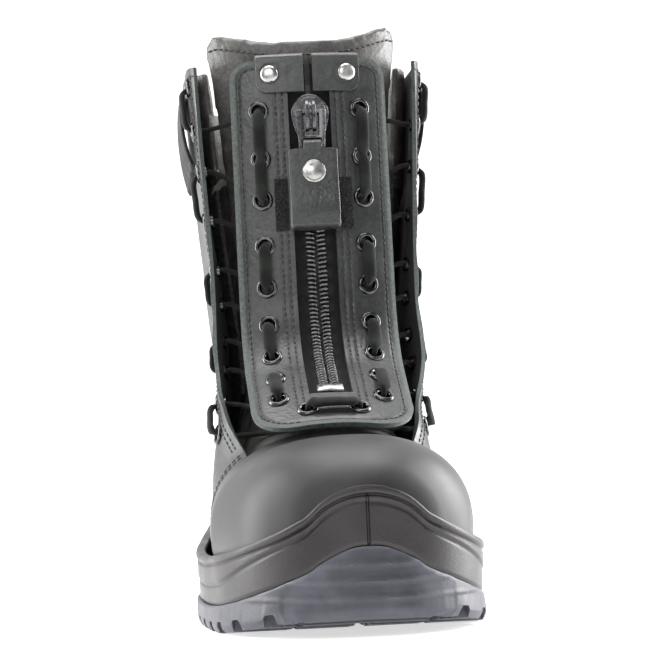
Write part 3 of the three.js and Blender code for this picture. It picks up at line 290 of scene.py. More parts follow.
def make_piece(name, points, faces, finishes, which=None, uv=None, crease=40, body="boot", slot=None,
               stands_for=(), bevel=0.0):
    """Object from points in mm of the drawing: which gives each face's finish, uv its pattern's place."""
    faces = [list(map(int, f)) for f in faces]
    points = np.asarray(points, float).reshape(-1, 3)
    if volume(points - points.mean(0), faces) < 0:
        faces = [f[::-1] for f in faces]
    mesh = bpy.data.meshes.new(name)
    mesh.from_pydata(((points + SHIFT) * MM).tolist(), [], faces)
    mesh.polygons.foreach_set("use_smooth", np.ones(len(faces), bool))
    if which is not None:
        mesh.polygons.foreach_set("material_index", np.asarray(which, np.int32))
    if uv is not None:
        corner = np.zeros(len(mesh.loops), np.int32)
        mesh.loops.foreach_get("vertex_index", corner)
        layer = mesh.uv_layers.new(name="cloth")
        layer.data.foreach_set("uv", np.asarray(uv, np.float32).reshape(-1, 2)[corner].ravel())
    mesh.update()
    mesh.set_sharp_from_angle(angle=math.radians(crease))
    piece = bpy.data.objects.new(name, mesh)
    bpy.context.collection.objects.link(piece)
    for finish in finishes:
        mesh.materials.append(finish)
    if bevel:
        rounding = piece.modifiers.new("rounded_edges", "BEVEL")
        rounding.width, rounding.segments = bevel * MM, 2
        rounding.limit_method, rounding.angle_limit = "ANGLE", math.radians(50)
        rounding.harden_normals = False
    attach(piece, body)
    if stands_for:
        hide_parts(*stands_for)
    return piece


def lengths(points, axis):
    """Distance run along one direction of a grid, in mm, starting from 0."""
    step = np.linalg.norm(np.diff(points, axis=axis), axis=-1)
    return np.cumsum(np.concatenate([np.zeros_like(np.take(step, [0], axis)), step], axis), axis)


def shell(name, outer, inner, finishes, bevel=0.5, keep=None, zones=None, **more):
    """Closed piece between two grids: outer face, inner face, and strips along every free edge.

    finishes are those of the outer face, the inner face, the edge and any zones of the outer
    face. keep says which squares of the grid are there, and zones gives each a finish number.
    """
    rows, cols = outer.shape[:2]
    count = rows * cols
    keep = np.ones((rows - 1) * (cols - 1), bool) if keep is None else keep.ravel()
    front = grid_faces(rows, cols)[keep]
    tail, head = front.ravel(), np.roll(front, -1, 1).ravel()
    lone = ~np.isin(tail * count + head, head * count + tail)
    rim = np.stack([head[lone], tail[lone], tail[lone] + count, head[lone] + count], -1)
    faces = np.concatenate([front, front[:, ::-1] + count, rim])
    which = np.repeat([0, 1, 2], [len(front), len(front), len(rim)])
    if zones is not None:
        which[:len(front)] = zones.ravel()[keep]
    run = np.stack([lengths(outer, 1), lengths(outer, 0)], -1).reshape(-1, 2) * MM
    points = np.concatenate([outer.reshape(-1, 3), inner.reshape(-1, 3)])
    used, faces = np.unique(faces, return_inverse=True)
    return make_piece(name, points[used], faces.reshape(-1, 4), finishes, which,
                      np.concatenate([run, run])[used], bevel=bevel, **more)


def patch(name, v_range, t_range, inner, outer, finishes, rows=60, cols=80, winged=False,
          edge=None, turn=None, relief=None, **more):
    """Layer of the boot's surface between two sections and two angles, from depth to depth.

    edge and turn may move its points along v and t, and relief raises its outer face.
    """
    v, t = np.meshgrid(np.linspace(*v_range, rows), np.linspace(*t_range, cols), indexing="ij")
    ev, et = (edge(v, t) if edge else v), (turn(v, t) if turn else t)
    raised = relief(ev, et) if relief else 0 * ev
    return shell(name, boot_skin(ev, et, outer + raised, winged), boot_skin(ev, et, inner, winged),
                 finishes, **more)


def placed(local, place, out, along):
    """Local points (right, ahead, up) put at place, with up along out and ahead near along."""
    out = unit(np.asarray(out, float))
    ahead = unit(along - np.sum(along * out, -1, keepdims=True) * out)
    right = np.cross(ahead, out)
    return place + local[..., :1] * right + local[..., 1:2] * ahead + local[..., 2:] * out


def turned(profile, sides=32):
    """Turned piece about the local up axis: rings of a profile of (radius, height) pairs.

    A profile that starts and ends on the axis is closed with a pole at each end; any other
    profile is a loop, whose last ring joins the first.
    """
    profile = np.asarray(profile, float)
    angle = np.arange(sides) * 2 * math.pi / sides
    poles = profile[0, 0] == 0 and profile[-1, 0] == 0
    rings = profile[1:-1] if poles else profile
    points = np.stack([rings[:, :1] * np.cos(angle), rings[:, :1] * np.sin(angle),
                       np.repeat(rings[:, 1:], sides, 1)], -1)
    points = points.reshape(-1, 3)
    faces = grid_faces(len(rings), sides, wrap=True).tolist()
    k = np.arange(sides)
    low, high = k, (len(rings) - 1) * sides + k
    if poles:
        points = np.concatenate([points, [[0, 0, profile[0, 1]], [0, 0, profile[-1, 1]]]])
        foot = np.stack([np.roll(low, -1), low, np.full(sides, len(points) - 2)], -1)
        head = np.stack([high, np.roll(high, -1), np.full(sides, len(points) - 1)], -1)
        return points, faces + foot.tolist() + head.tolist()
    join = np.stack([high, np.roll(high, -1), np.roll(low, -1), low], -1)
    return points, faces + join.tolist()


def many(points, faces, places, outs, alongs):
    """Copies of one small shape, one at each place, as one set of points and faces."""
    local = np.broadcast_to(points, (len(places), *points.shape))
    spots = placed(local, places[:, None], outs[:, None], alongs[:, None])
    copies = [[i + n * len(points) for i in f] for n in range(len(places)) for f in faces]
    return spots.reshape(-1, 3), copies


def even(path, pitch, *others):
    """Path resampled at equal steps of about pitch, with any other arrays that follow it."""
    run = lengths(path, 0)
    count = max(2, int(round(run[-1] / pitch)) + 1)
    at = np.linspace(0, run[-1], count)
    pick_all = lambda a: np.stack([np.interp(at, run, a[:, k]) for k in range(a.shape[1])], -1)
    return [pick_all(np.asarray(a, float)) for a in (path, *others)]


def stitches(name, path, outs, finish, pitch=3.0, length=2.2, thick=0.42, sink=0.12, **more):
    """Sewing thread along a path: each stitch is a short six-sided bead half sunk in the leather."""
    place, out = even(path, pitch, outs)
    along = np.gradient(place, axis=0)
    a = np.arange(6) * math.pi / 3
    reach = np.array([-0.5, -0.32, 0.32, 0.5])[:, None] * length
    girth = np.array([0.3, 1, 1, 0.3])[:, None] * thick
    bead = np.stack([girth * np.cos(a), reach + 0 * a, girth * np.sin(a)], -1).reshape(-1, 3)
    bead[:, 2] += thick * 0.5 - sink
    faces = grid_faces(4, 6, wrap=True).tolist() + [list(range(6))[::-1], list(range(18, 24))]
    points, faces = many(bead, faces, place, out, along)
    return make_piece(name, points, faces, [finish], crease=60, **more)


print("mesh makers ready")

# %% [markdown]
# Materials. Each is a small tree of nodes: a shader, a pattern in the object's own coordinates
# for its colour and gloss, and a bump whose height is given in millimetres. A picture of leather
# could be wrapped on instead, but a procedural pattern has no seams and keeps its real scale.

# %% Node and colour helpers
def linear(colour_hex):
    """Linear colour of an sRGB hex value."""
    c = np.array([int(colour_hex[i:i + 2], 16) for i in (0, 2, 4)]) / 255
    c = np.where(c <= 0.04045, c / 12.92, ((c + 0.055) / 1.055) ** 2.4)
    return (*c.tolist(), 1.0)


def add_node(tree, kind, inputs=None, **settings):
    """Adds a node with its settings; each input is a value, or an output that is linked to it."""
    made = tree.nodes.new("ShaderNode" + kind)
    for key, value in settings.items():
        setattr(made, key, value)
    for key, value in (inputs or {}).items():
        if isinstance(value, bpy.types.NodeSocket):
            tree.links.new(value, made.inputs[key])
        else:
            made.inputs[key].default_value = value
    return made


def start(name, colour, rough, metal=0.0, **sockets):
    """New material with its shader's own values; returns its tree and its shader."""
    material = bpy.data.materials.new(name)
    material.use_nodes = True
    tree = material.node_tree
    shader = tree.nodes["Principled BSDF"]
    for key, value in {"Base Color": linear(colour), "Roughness": rough, "Metallic": metal,
                       **sockets}.items():
        shader.inputs[key].default_value = value
    return material, tree, shader


def per(mm):
    """Pattern scale for features of this size in mm, in coordinates of metres."""
    return 1000.0 / mm


def blend_colour(tree, factor, dark, light):
    """Colour between two hex values by a factor from 0 to 1."""
    return add_node(tree, "Mix", {0: factor, 6: linear(dark), 7: linear(light)}, data_type="RGBA").outputs[2]


def spread_value(tree, factor, low, high, start_at=0.35, end_at=0.65):
    """Factor's middle range stretched to run from low to high."""
    return add_node(tree, "MapRange", {"Value": factor, "From Min": start_at, "From Max": end_at,
                                       "To Min": low, "To Max": high}).outputs["Result"]


def bumped(tree, shader, layers):
    """Bumps laid one over another: each layer is a height from 0 to 1 and its depth in mm."""
    under = None
    for height, depth in layers:
        inputs = {"Height": height, "Distance": depth * MM, "Strength": 1.0}
        if under:
            inputs["Normal"] = under
        under = add_node(tree, "Bump", inputs).outputs["Normal"]
    tree.links.new(under, shader.inputs["Normal"])


print("node helpers ready")

# %% [markdown]
# Leather. The boot is made of black full-grain cowhide, waxed and pressed smooth: its pores make
# a fine pebble, it shines softly, and handling leaves it a little paler and drier in patches. The
# tongue and collar are of soft drum-dyed leather, browner and with longer creases.

# %% Leathers
def leather(name, dark, light, rough, grain, depth, crease_size, crease_depth):
    """Grained leather: cells of the grain's size in mm, soft creases, and patches of wax and wear."""
    material, tree, shader = start(name, dark, rough, **{"Specular IOR Level": 0.5})
    place = add_node(tree, "TexCoord").outputs["Object"]
    patches = add_node(tree, "TexNoise", {"Vector": place, "Scale": per(28), "Detail": 5.0}).outputs["Fac"]
    fine = add_node(tree, "TexNoise", {"Vector": place, "Scale": per(1.6), "Detail": 2.0}).outputs["Fac"]
    cells = add_node(tree, "TexVoronoi", {"Vector": place, "Scale": per(grain)},
                     feature="SMOOTH_F1").outputs["Distance"]
    creases = add_node(tree, "TexNoise", {"Vector": place, "Scale": per(crease_size), "Detail": 3.0,
                                          "Distortion": 1.2}).outputs["Fac"]
    speck = add_node(tree, "Math", {0: patches, 1: fine}, operation="ADD").outputs[0]
    tree.links.new(blend_colour(tree, spread_value(tree, speck, 0, 1, 0.8, 1.25), dark, light),
                   shader.inputs["Base Color"])
    tree.links.new(spread_value(tree, patches, rough - 0.07, rough + 0.08), shader.inputs["Roughness"])
    bumped(tree, shader, [(creases, crease_depth), (cells, depth)])
    return material


# The real pores are about 0.4 mm apart, too fine to show, so the pebble is drawn at 1.3 mm.
BLACK_LEATHER = leather("waxed_black_leather", "171918", "2a2c2b", 0.42, 1.3, 0.12, 9.0, 0.30)
SOFT_LEATHER = leather("soft_drummed_leather", "292826", "454340", 0.44, 1.1, 0.08, 15.0, 0.9)
FLESH_LEATHER = leather("leather_flesh_side", "111111", "1e1e1d", 0.85, 0.9, 0.12, 6.0, 0.2)


def cut_edge(name, dark, light):
    """Sealed cut edge: fibres under a coat of edge dye, so it is matt and slightly streaked."""
    material, tree, shader = start(name, dark, 0.6)
    place = add_node(tree, "TexCoord").outputs["Object"]
    fibres = add_node(tree, "TexNoise", {"Vector": place, "Scale": per(1.2), "Detail": 4.0}).outputs["Fac"]
    tree.links.new(blend_colour(tree, spread_value(tree, fibres, 0, 1), dark, light),
                   shader.inputs["Base Color"])
    bumped(tree, shader, [(fibres, 0.15)])
    return material


EDGE_DYE = cut_edge("edge_dye_on_leather", "262b29", "3f4643")

# %% [markdown]
# Rubbers. The toe cover is moulded from a tool with a fine satin etch, the band round the sole is
# a browner compound that keeps some of the tool's flow marks, and the outsole is nitrile rubber
# with a blue-grey bloom.

# %% Rubbers
def rubber(name, dark, light, rough, etch, depth, bloom):
    """Moulded rubber: an even etched grain, a bloom in cloudy patches of the given size, sharp edges made
    paler as wear, and hollows made darker as painted shade.
    """
    material, tree, shader = start(name, dark, rough, **{"Specular IOR Level": 0.35})
    place = add_node(tree, "TexCoord").outputs["Object"]
    clouds = add_node(tree, "TexNoise", {"Vector": place, "Scale": per(bloom), "Detail": 4.0,
                                         "Distortion": 0.4}).outputs["Fac"]
    grit = add_node(tree, "TexNoise", {"Vector": place, "Scale": per(etch), "Detail": 2.0}).outputs["Fac"]
    # Colour is the bloom plus pointiness: sharp edges paler as edge wear, hollows and creases darker as
    # painted shade.
    edge_wear_and_hollow_shade = add_node(tree, "NewGeometry").outputs["Pointiness"]
    bloom_wear_and_painted_shade = add_node(tree, "Math", {0: clouds, 1: spread_value(tree, edge_wear_and_hollow_shade, -0.12, 0.3, 0.47, 0.56)},
                    operation="ADD").outputs[0]
    tree.links.new(blend_colour(tree, spread_value(tree, bloom_wear_and_painted_shade, 0, 1, 0.35, 0.75), dark, light),
                   shader.inputs["Base Color"])
    tree.links.new(spread_value(tree, clouds, rough - 0.05, rough + 0.06), shader.inputs["Roughness"])
    bumped(tree, shader, [(grit, depth)])
    return material


TOE_RUBBER = rubber("satin_moulded_rubber", "181818", "292928", 0.5, 0.8, 0.04, 35)
BAND_RUBBER = rubber("black_rubber_band", "130f10", "231f1f", 0.46, 1.0, 0.10, 22)
SOLE_RUBBER = rubber("nitrile_outsole_rubber", "2a2b31", "43444c", 0.5, 1.1, 0.10, 18)

# %% [markdown]
# Metals. Rivets and the press stud are nickel-plated brass, bright with faint rolling marks, and
# the eyelets are the same brass with a black nickel plating that keeps only the sharp glints.
# The zip's slider and puller are zinc die castings with a smoky gunmetal plating. The toe cap
# and the shank are pressed steel sheet, dull grey with a light skin of oxide.

# %% Metals
def metal(name, dark, light, rough, marks, depth):
    """Plated or rolled metal: marks of the given size in mm change its gloss and its tone a little."""
    material, tree, shader = start(name, dark, rough, 1.0)
    place = add_node(tree, "TexCoord").outputs["Object"]
    smear = add_node(tree, "TexNoise", {"Vector": place, "Scale": per(marks), "Detail": 5.0}).outputs["Fac"]
    tree.links.new(blend_colour(tree, spread_value(tree, smear, 0, 1), dark, light),
                   shader.inputs["Base Color"])
    tree.links.new(spread_value(tree, smear, rough - 0.06, rough + 0.1), shader.inputs["Roughness"])
    bumped(tree, shader, [(smear, depth)])
    return material


NICKEL = metal("nickel_plated_brass", "8c8c8a", "a2a29f", 0.30, 3.0, 0.01)
BLACK_NICKEL = metal("black_nickel_plated_brass", "3c3c3e", "545456", 0.20, 3.0, 0.01)
GUNMETAL = metal("gunmetal_plated_zinc", "48484a", "5a5a5c", 0.26, 2.0, 0.01)
STEEL = metal("pressed_steel", "6f7275", "93969a", 0.42, 8.0, 0.04)

# %% [markdown]
# Textiles. The zip tape and the pull loops are woven, so their pattern follows the cloth: the UV
# map holds metres along and across it, and two sets of waves at right angles make the threads.
# The lace is a flat braid, whose strands cross at an angle.

# %% Textiles
def woven(name, dark, light, rough, across, along, depth, turn=0.0):
    """Cloth of two sets of threads, across and along in mm, both turned by an angle for a braid."""
    material, tree, shader = start(
        name, dark, rough, **{"Specular IOR Level": 0.15, "Sheen Weight": 0.06, "Sheen Roughness": 0.5})
    cloth = add_node(tree, "UVMap", uv_map="cloth").outputs["UV"]
    sets = []
    for angle, size in ((turn, across), (math.pi / 2 - turn if turn == 0 else -turn, along)):
        turned_uv = add_node(tree, "Mapping", {"Vector": cloth, "Rotation": (0, 0, angle)}).outputs["Vector"]
        waves = add_node(tree, "TexWave", {"Vector": turned_uv, "Scale": per(size) / 20, "Distortion": 0.3,
                                           "Detail": 1.0, "Detail Scale": 4.0}, bands_direction="X")
        sets.append(waves.outputs["Fac"])
    weave = add_node(tree, "Math", {0: sets[0], 1: sets[1]}, operation="MULTIPLY").outputs[0]
    place = add_node(tree, "TexCoord").outputs["Object"]
    fuzz = add_node(tree, "TexNoise", {"Vector": place, "Scale": per(0.8), "Detail": 2.0}).outputs["Fac"]
    tone = add_node(tree, "Math", {0: weave, 1: fuzz}, operation="ADD").outputs[0]
    tree.links.new(blend_colour(tree, spread_value(tree, tone, 0, 1, 0.35, 1.2), dark, light),
                   shader.inputs["Base Color"])
    bumped(tree, shader, [(fuzz, 0.08), (weave, depth)])
    return material


LACE_BRAID = woven("braided_lace", "080908", "181b17", 0.8, 1.7, 1.7, 0.3, turn=0.75)
WEBBING = woven("woven_webbing", "0c0d0c", "222322", 0.75, 1.6, 1.6, 0.3)
ZIP_TAPE = woven("woven_zip_tape", "0a0a0a", "1c1b1b", 0.8, 1.2, 1.2, 0.15)
LINING = woven("lining_cloth", "0e0e0e", "1d1d1d", 0.9, 1.8, 1.8, 0.2)


def fibrous(name, dark, light, rough, size, depth, feature="F1"):
    """Foam, pressed board or hook tape: packed cells of the given size in mm."""
    material, tree, shader = start(name, dark, rough, **{"Specular IOR Level": 0.15})
    place = add_node(tree, "TexCoord").outputs["Object"]
    cells = add_node(tree, "TexVoronoi", {"Vector": place, "Scale": per(size)},
                     feature=feature).outputs["Distance"]
    cloud = add_node(tree, "TexNoise", {"Vector": place, "Scale": per(size * 9),
                                        "Detail": 4.0}).outputs["Fac"]
    tone = add_node(tree, "Math", {0: cells, 1: cloud}, operation="ADD").outputs[0]
    tree.links.new(blend_colour(tree, spread_value(tree, tone, 0, 1, 0.4, 1.4), dark, light),
                   shader.inputs["Base Color"])
    bumped(tree, shader, [(cells, depth)])
    return material


FOAM = fibrous("open_cell_foam", "2b2b2b", "4a4a4a", 0.95, 1.5, 0.4)
BOARD = fibrous("pressed_fibre_board", "6d6a58", "8f8c78", 0.85, 1.2, 0.1)
HOOK_TAPE = fibrous("hook_tape", "060606", "242424", 0.55, 1.1, 0.8)


def thread(name, dark, light):
    """Twisted sewing thread: thin bands of shade across each stitch, with a soft gloss."""
    material, tree, shader = start(name, dark, 0.5)
    place = add_node(tree, "TexCoord").outputs["Object"]
    ply = add_node(tree, "TexWave", {"Vector": place, "Scale": per(0.8) / 20, "Distortion": 2.0},
                   bands_direction="DIAGONAL").outputs["Fac"]
    tree.links.new(blend_colour(tree, ply, dark, light), shader.inputs["Base Color"])
    bumped(tree, shader, [(ply, 0.1)])
    return material


BLACK_THREAD = thread("black_bonded_thread", "0c0c0c", "242424")


def coil_plastic(name, dark, light):
    """Drawn nylon monofilament: dark, glassy, with a little variation in its gloss."""
    material, tree, shader = start(name, dark, 0.2, **{"Specular IOR Level": 0.8})
    place = add_node(tree, "TexCoord").outputs["Object"]
    haze = add_node(tree, "TexNoise", {"Vector": place, "Scale": per(2.5), "Detail": 3.0}).outputs["Fac"]
    tree.links.new(blend_colour(tree, spread_value(tree, haze, 0, 1), dark, light),
                   shader.inputs["Base Color"])
    tree.links.new(spread_value(tree, haze, 0.14, 0.3), shader.inputs["Roughness"])
    return material


COIL_NYLON = coil_plastic("drawn_nylon", "303031", "565657")
print("materials:", len(bpy.data.materials))

# %% [markdown]
# The sole. Rubber soles are moulded as a ring round the foot's outline with a tread below, so
# each part is a loft: at every point of the outline a profile is drawn outwards and upwards, and
# the inside is closed towards the foot's centre line. The tread's grooves are cut by height.

# %% Loft round the foot
SOLE_MARGIN, RUNNING_GAP = 5.5, 0.35
LUG_DEPTH, LUG_PITCH, LUG_GROOVE = 4.5, 17.0, 6.0
SOLE_BASE = 9.0
ARCH = (2.0, 50.0)


def plan_ring(count):
    """Outline of the foot, toe to heel and back, with its outward normal; denser at the toe's middle."""
    half = np.unique(np.r_[np.linspace(0, 1, count // 2 + 1), 0.0007, 0.0014, 0.0021, 0.003])
    u = np.r_[half, half[-2:0:-1]]
    inner = np.arange(len(u)) < len(half)
    y = TOE_Y + (HEEL_Y - TOE_Y) * (1 - np.cos(math.pi * u)) / 2
    points = np.stack([np.where(inner, 1, -1) * plan_half(y, inner), y], -1)
    step = unit(np.roll(points, -1, 0) - np.roll(points, 1, 0))
    return points, np.stack([step[:, 1], -step[:, 0]], -1)


def loft(name, stations, finish, count=900, **more):
    """Closed ring of profiles: stations(x, y) lists (outset, share of the way to the middle, z)."""
    plan, normal = plan_ring(count)
    rings = []
    for outset, share, z in stations(plan[:, 0], plan[:, 1]):
        q = plan + normal * np.reshape(outset * np.ones(len(plan)), (-1, 1))
        x = q[:, 0] * (1 - share)
        rings.append(np.stack([x, q[:, 1], z(x, q[:, 1]) if callable(z) else z + 0 * x], -1))
    points = np.stack(rings)
    faces = grid_faces(len(rings), len(plan), wrap=True)
    piece = make_piece(name, points, faces, [finish], crease=35, **more)
    weld(piece)
    return piece


def weld(piece, reach=0.00002):
    """Joins points that lie on each other, and drops the faces that this leaves without area."""
    work = bmesh.new()
    work.from_mesh(piece.data)
    bmesh.ops.remove_doubles(work, verts=work.verts, dist=reach)
    bmesh.ops.dissolve_degenerate(work, edges=work.edges, dist=reach)
    work.to_mesh(piece.data)
    work.free()
    piece.data.set_sharp_from_angle(angle=math.radians(35))


# %% Tread and outsole
def groove(distance, half_width, wall=0.7):
    """1 in the middle of a groove, 0 outside it, with steep walls; distance is from its middle."""
    return 1 - smooth(np.abs(distance), half_width - wall, half_width + wall)


def tread_cut(x, y):
    """Height of the tread's grooves above the ground: cross grooves, a long one, and the plain waist."""
    bent = y - 0.10 * np.abs(x)
    phase = (bent - (TOE_Y + 12) + LUG_PITCH / 2) % LUG_PITCH - LUG_PITCH / 2
    waist = smooth(y, ARCH[0] - 7, ARCH[0] - 4) * (1 - smooth(y, ARCH[1] + 2, ARCH[1] + 5))
    across = groove(phase, LUG_GROOVE / 2) * smooth(y, TOE_Y + 2, TOE_Y + 5)
    long = groove(x, LUG_GROOVE / 2 - 0.5) * smooth(y, TOE_Y + 22, TOE_Y + 24) * (1 - smooth(y, 126, 129))
    sipe = 0.35 * groove(np.abs(x) - 26, 0.9, 0.5) * (1 - across)
    return LUG_DEPTH * np.maximum(np.maximum(across, long), np.maximum(sipe, 1.4 * waist))


def tread_z(x, y):
    """Underside of the outsole."""
    return ground_z(y) + tread_cut(x, y)


def outsole_stations(x, y):
    """Profile of the outsole: tread from the middle to the edge, side wall, and the seat of the band."""
    lip = np.clip((-70 - y) / 60, 0, 1)
    bottom = lambda qx, qy: tread_z(qx, qy)
    list_of = [(-6.0, share, bottom) for share in np.linspace(1, 0, 26)]
    list_of += [(out, 0, bottom) for out in (-3.5, -1.5, 0.5, 2.0, SOLE_MARGIN - 2)]
    for f in np.r_[0.02, np.linspace(0.08, 1, 22)]:
        foot = ground_z(y) + tread_cut(x, y)
        z = foot + (wave_z(y) - foot) * f
        rise = np.minimum(1, (z - ground_z(y)) / 3)
        ribs = 0.45 * (groove((z - 12) % 6.5 - 3.2, 0.8, 0.5)) * smooth(-y, 112, 135) * smooth(z, 10, 13)
        edge = 0.6 * smooth(f, 0.93, 1.0)
        list_of.append((SOLE_MARGIN - 2 + 2 * rise**0.6 + ribs - edge - lip * smooth(f, 0, 1), 0, z))
    seat = SOLE_MARGIN - 3 - lip
    top = lambda qx, qy: np.maximum(ground_z(qy) + SOLE_BASE, 0)
    list_of += [(seat, 0, wave_z(y)), (seat, 0, top), (-6.0, 0, top), (-6.0, 0.5, top), (-6.0, 1, top)]
    return list_of


outsole = loft("rubber_outsole", outsole_stations, SOLE_RUBBER, slot="sole_rubber", stands_for=["outsole"])
print("outsole faces:", len(outsole.data.polygons))

# %% [markdown]
# The band, or rand, covers the seam between sole and upper. Its profile has a rounded lip on
# top, a raised strip below it, and a plain face, and at the toe's middle the mould's parting line
# runs down it. Relief like this could be bump only, but its edge is seen against the toe.

# %% Band round the sole
BAND_TRAY, BAND_WALL, BED_DROP = 0.8, 4.6, -0.4


def band_stations(x, y):
    """Profile of the band, from under the upper, down its inner wall's back and round its face."""
    lip = np.clip((-70 - y) / 60, 0, 1)
    face = SOLE_MARGIN - 3 - lip - RUNNING_GAP
    low, high = wave_z(y) + RUNNING_GAP, rand_z(y)
    under = lambda qx, qy: np.maximum(ground_z(qy) + SOLE_BASE, 0) + RUNNING_GAP
    list_of = [(-8.0, 1, under), (-8.0, 0.5, under), (-8.0, 0, under), (face, 0, under), (face, 0, low)]
    strip = 5.6 + 5.2 * smooth(y, -140, -95)
    seam = 1 - smooth(np.abs(x), 0.2, 0.75)
    proud = 0.6 * smooth(-y, 60, 80)
    for f in np.linspace(0, 1, 44):
        z = low + (high - low) * f
        down = high - z
        out = SOLE_MARGIN - 1.3 + (proud - 0.1) * f
        out = out + 0.55 * np.sqrt(np.clip(1 - ((down - 1.5) / 1.5) ** 2, 0, 1)) * (down < 3.0)
        out = out - 0.55 * groove(down - 3.4, 0.55, 0.35)
        out = out + 0.55 * smooth(-down, -strip - 0.5, -strip + 0.5)
        out = out - 0.35 * groove(down - strip - 1.0, 0.6, 0.4)
        out = out - 0.5 * (1 - smooth(f, 0, 0.06)) - 0.7 * seam * smooth(down, 2.8, 3.6) * (f > 0)
        list_of.append((out + 0 * y, 0, z))
    list_of += [(BAND_TRAY + BAND_WALL - 2.2, 0, high + 0.15), (BAND_TRAY + 0.6, 0, high),
                (BAND_TRAY, 0, high - 0.6), (BAND_TRAY, 0, np.minimum(high - 6, bed_z(y) + 14)),
                (BAND_TRAY, 0, bed_z(y) + BED_DROP)]
    floor = lambda qx, qy: bed_z(qy) + BED_DROP
    return list_of + [(-8.0, 0, floor), (-8.0, 0.5, floor), (-8.0, 1, floor)]


band = loft("rubber_band", band_stations, BAND_RUBBER, slot="rubber", stands_for=["midsole"])
print("band faces:", len(band.data.polygons))

# %% [markdown]
# The upper. The vamp covers the front of the foot, the two quarters wrap the shaft and stand
# open at the front where they are laced, and rubber covers protect the toe and the heel. Each
# is a patch of the boot's surface at its own depth, and its cut edge shows the edge dye.

# %% Upper
LEATHER_IN, LINER_OUT, LINER_IN = -2.0, -5.1, -7.0
COVER_IN, COVER_OUT = 0.7, 2.4
FEATHER = 0.82 * math.pi
QUARTER_FRONT, BACK_SEAM = 0.76, 0.012
SKIN = [BLACK_LEATHER, FLESH_LEATHER, EDGE_DYE]


def shaft_edge(v, t):
    """The shaft's top edge dips towards the back."""
    t = np.where(t > math.pi, t - 2 * math.pi, t)
    return v - 0.36 * smooth(np.abs(t), 1.2, 2.7) * smooth(v, 11.6, TOP_LEVEL)


def under_turn(v, t):
    """Below the heel the quarters' lower edges are drawn in to the edge of the insole board."""
    kept = 8 * 2 * math.pi / 22
    share = (FEATHER - kept) / (math.pi - BACK_SEAM - kept)
    a = np.abs(t)
    squeezed = kept + (a - kept) * (share + (1 - share) * smooth(v, 8.05, 8.7))
    return np.sign(t) * np.where(a < kept, a, squeezed)


def worn_folds(v, t):
    """Soft rolls across the flexing part of the vamp and round the ankle, up to 0.5 mm high."""
    flex = smooth(v, 4.6, 5.2) * (1 - smooth(v, 6.4, 7.4))
    ankle = smooth(v, 7.6, 8.6) * (1 - smooth(v, 10.6, 12.0))
    return (0.35 * flex * np.sin(7.0 * v + 0.8 * np.sin(2.1 * t))
            + 0.3 * ankle * np.sin(5.2 * v + 1.9 * np.abs(t) + np.sin(3.0 * t + v)))


vamp = patch("vamp_leather", (0, THROAT), (-FEATHER, FEATHER), LEATHER_IN, 0, SKIN, 90, 140,
             relief=worn_folds, slot="leather", stands_for=["vamp"])
toe_shell = patch("toe_cover_rubber", (0, 4.4), (-0.72 * math.pi, 0.72 * math.pi), COVER_IN, COVER_OUT,
                  [TOE_RUBBER] * 3, 90, 140, bevel=0.8, slot="rubber", stands_for=["toe_cover"])
heel_shell = patch("heel_cover_rubber", (8.7, 11), (math.pi - 0.72, math.pi + 0.72), COVER_IN, COVER_OUT,
                   [TOE_RUBBER] * 3, 50, 50, bevel=0.7, slot="rubber", stands_for=["heel_cover"])
quarters = {}
for which, side in (("inner", 1), ("outer", -1)):
    ends = sorted((side * QUARTER_FRONT, side * (math.pi - BACK_SEAM)))
    quarters[which] = patch(f"quarter_leather_{which}", (THROAT + 0.02, TOP_LEVEL), ends, LEATHER_IN, 0, SKIN,
                            120, 110, winged=True, edge=shaft_edge, turn=under_turn, relief=worn_folds,
                            bevel=0.6, slot="leather", stands_for=[f"quarter_{which}"])


def lining_turn(v, t):
    """The lining's front edges step back from a slit to the tongue's sides at the throat."""
    slit, front = 0.012, 1.02
    edge = slit + (front - slit) * smooth(v, THROAT - 0.05, THROAT + 0.15)
    a = np.where(t > math.pi, 2 * math.pi - t, t)
    moved = np.where(a < front, edge + (a - slit) * (front - edge) / (front - slit), a)
    return np.where(t > math.pi, 2 * math.pi - moved, moved)


lining = patch("lining_sock", (0, 11.6), (0.012, 2 * math.pi - 0.012), LINER_IN, LINER_OUT, [LINING] * 3,
               90, 120, turn=lining_turn, slot="textile", stands_for=["lining"])
print("upper pieces:", [o.name for o in (vamp, toe_shell, heel_shell, *quarters.values(), lining)])

# %% [markdown]
# The zip panel is one leather piece with a slot for the zip. Its grid has lines along the slot,
# and the squares inside the slot are left out. The lace holes are drilled with a Boolean, because
# round holes would spoil the even grid; the drills are thrown away once they have cut.

# %% Zip panel
PANEL_HALF, PANEL_LENGTH, PANEL_THICK = 34.0, 192.0, 2.0
SLOT_HALF, SLOT_END = 9.2, 168.0
TOP_ROUND, FOOT_ROUND, BINDING = 9.0, 18.0, 2.4
EYELET_HOLE, EYELET_BARREL, EYELET_RIM = 2.6, 0.5, 4.6
EYELET_X, EYELET_ROWS = 22.0, [23, 44.5, 63, 83.5, 102, 119, 136, 152.5, 169]
FOOT_EYELET = (11.0, 180.0)
RIVET_X, RIVET_S, RIVET_HEAD, RIVET_SHANK = 16.5, 7.0, 3.9, 1.6


def drill(piece, cutter):
    """Cuts cutter out of piece, after its rounded edges, and removes the cutter."""
    cut = piece.modifiers.new("drilled", "BOOLEAN")
    cut.object, cut.operation, cut.solver = cutter, "DIFFERENCE", "EXACT"
    bpy.context.view_layer.update()
    shaped = bpy.data.meshes.new_from_object(piece.evaluated_get(bpy.context.evaluated_depsgraph_get()))
    piece.modifiers.clear()
    piece.data = shaped
    bpy.data.objects.remove(cutter)


def off_panel(x, s, n):
    """Point off the panel's back at (x, s), measured square to the curved face."""
    return on_panel(x, s) + square_to_panel(x, s) * np.asarray(n, float)[..., None]


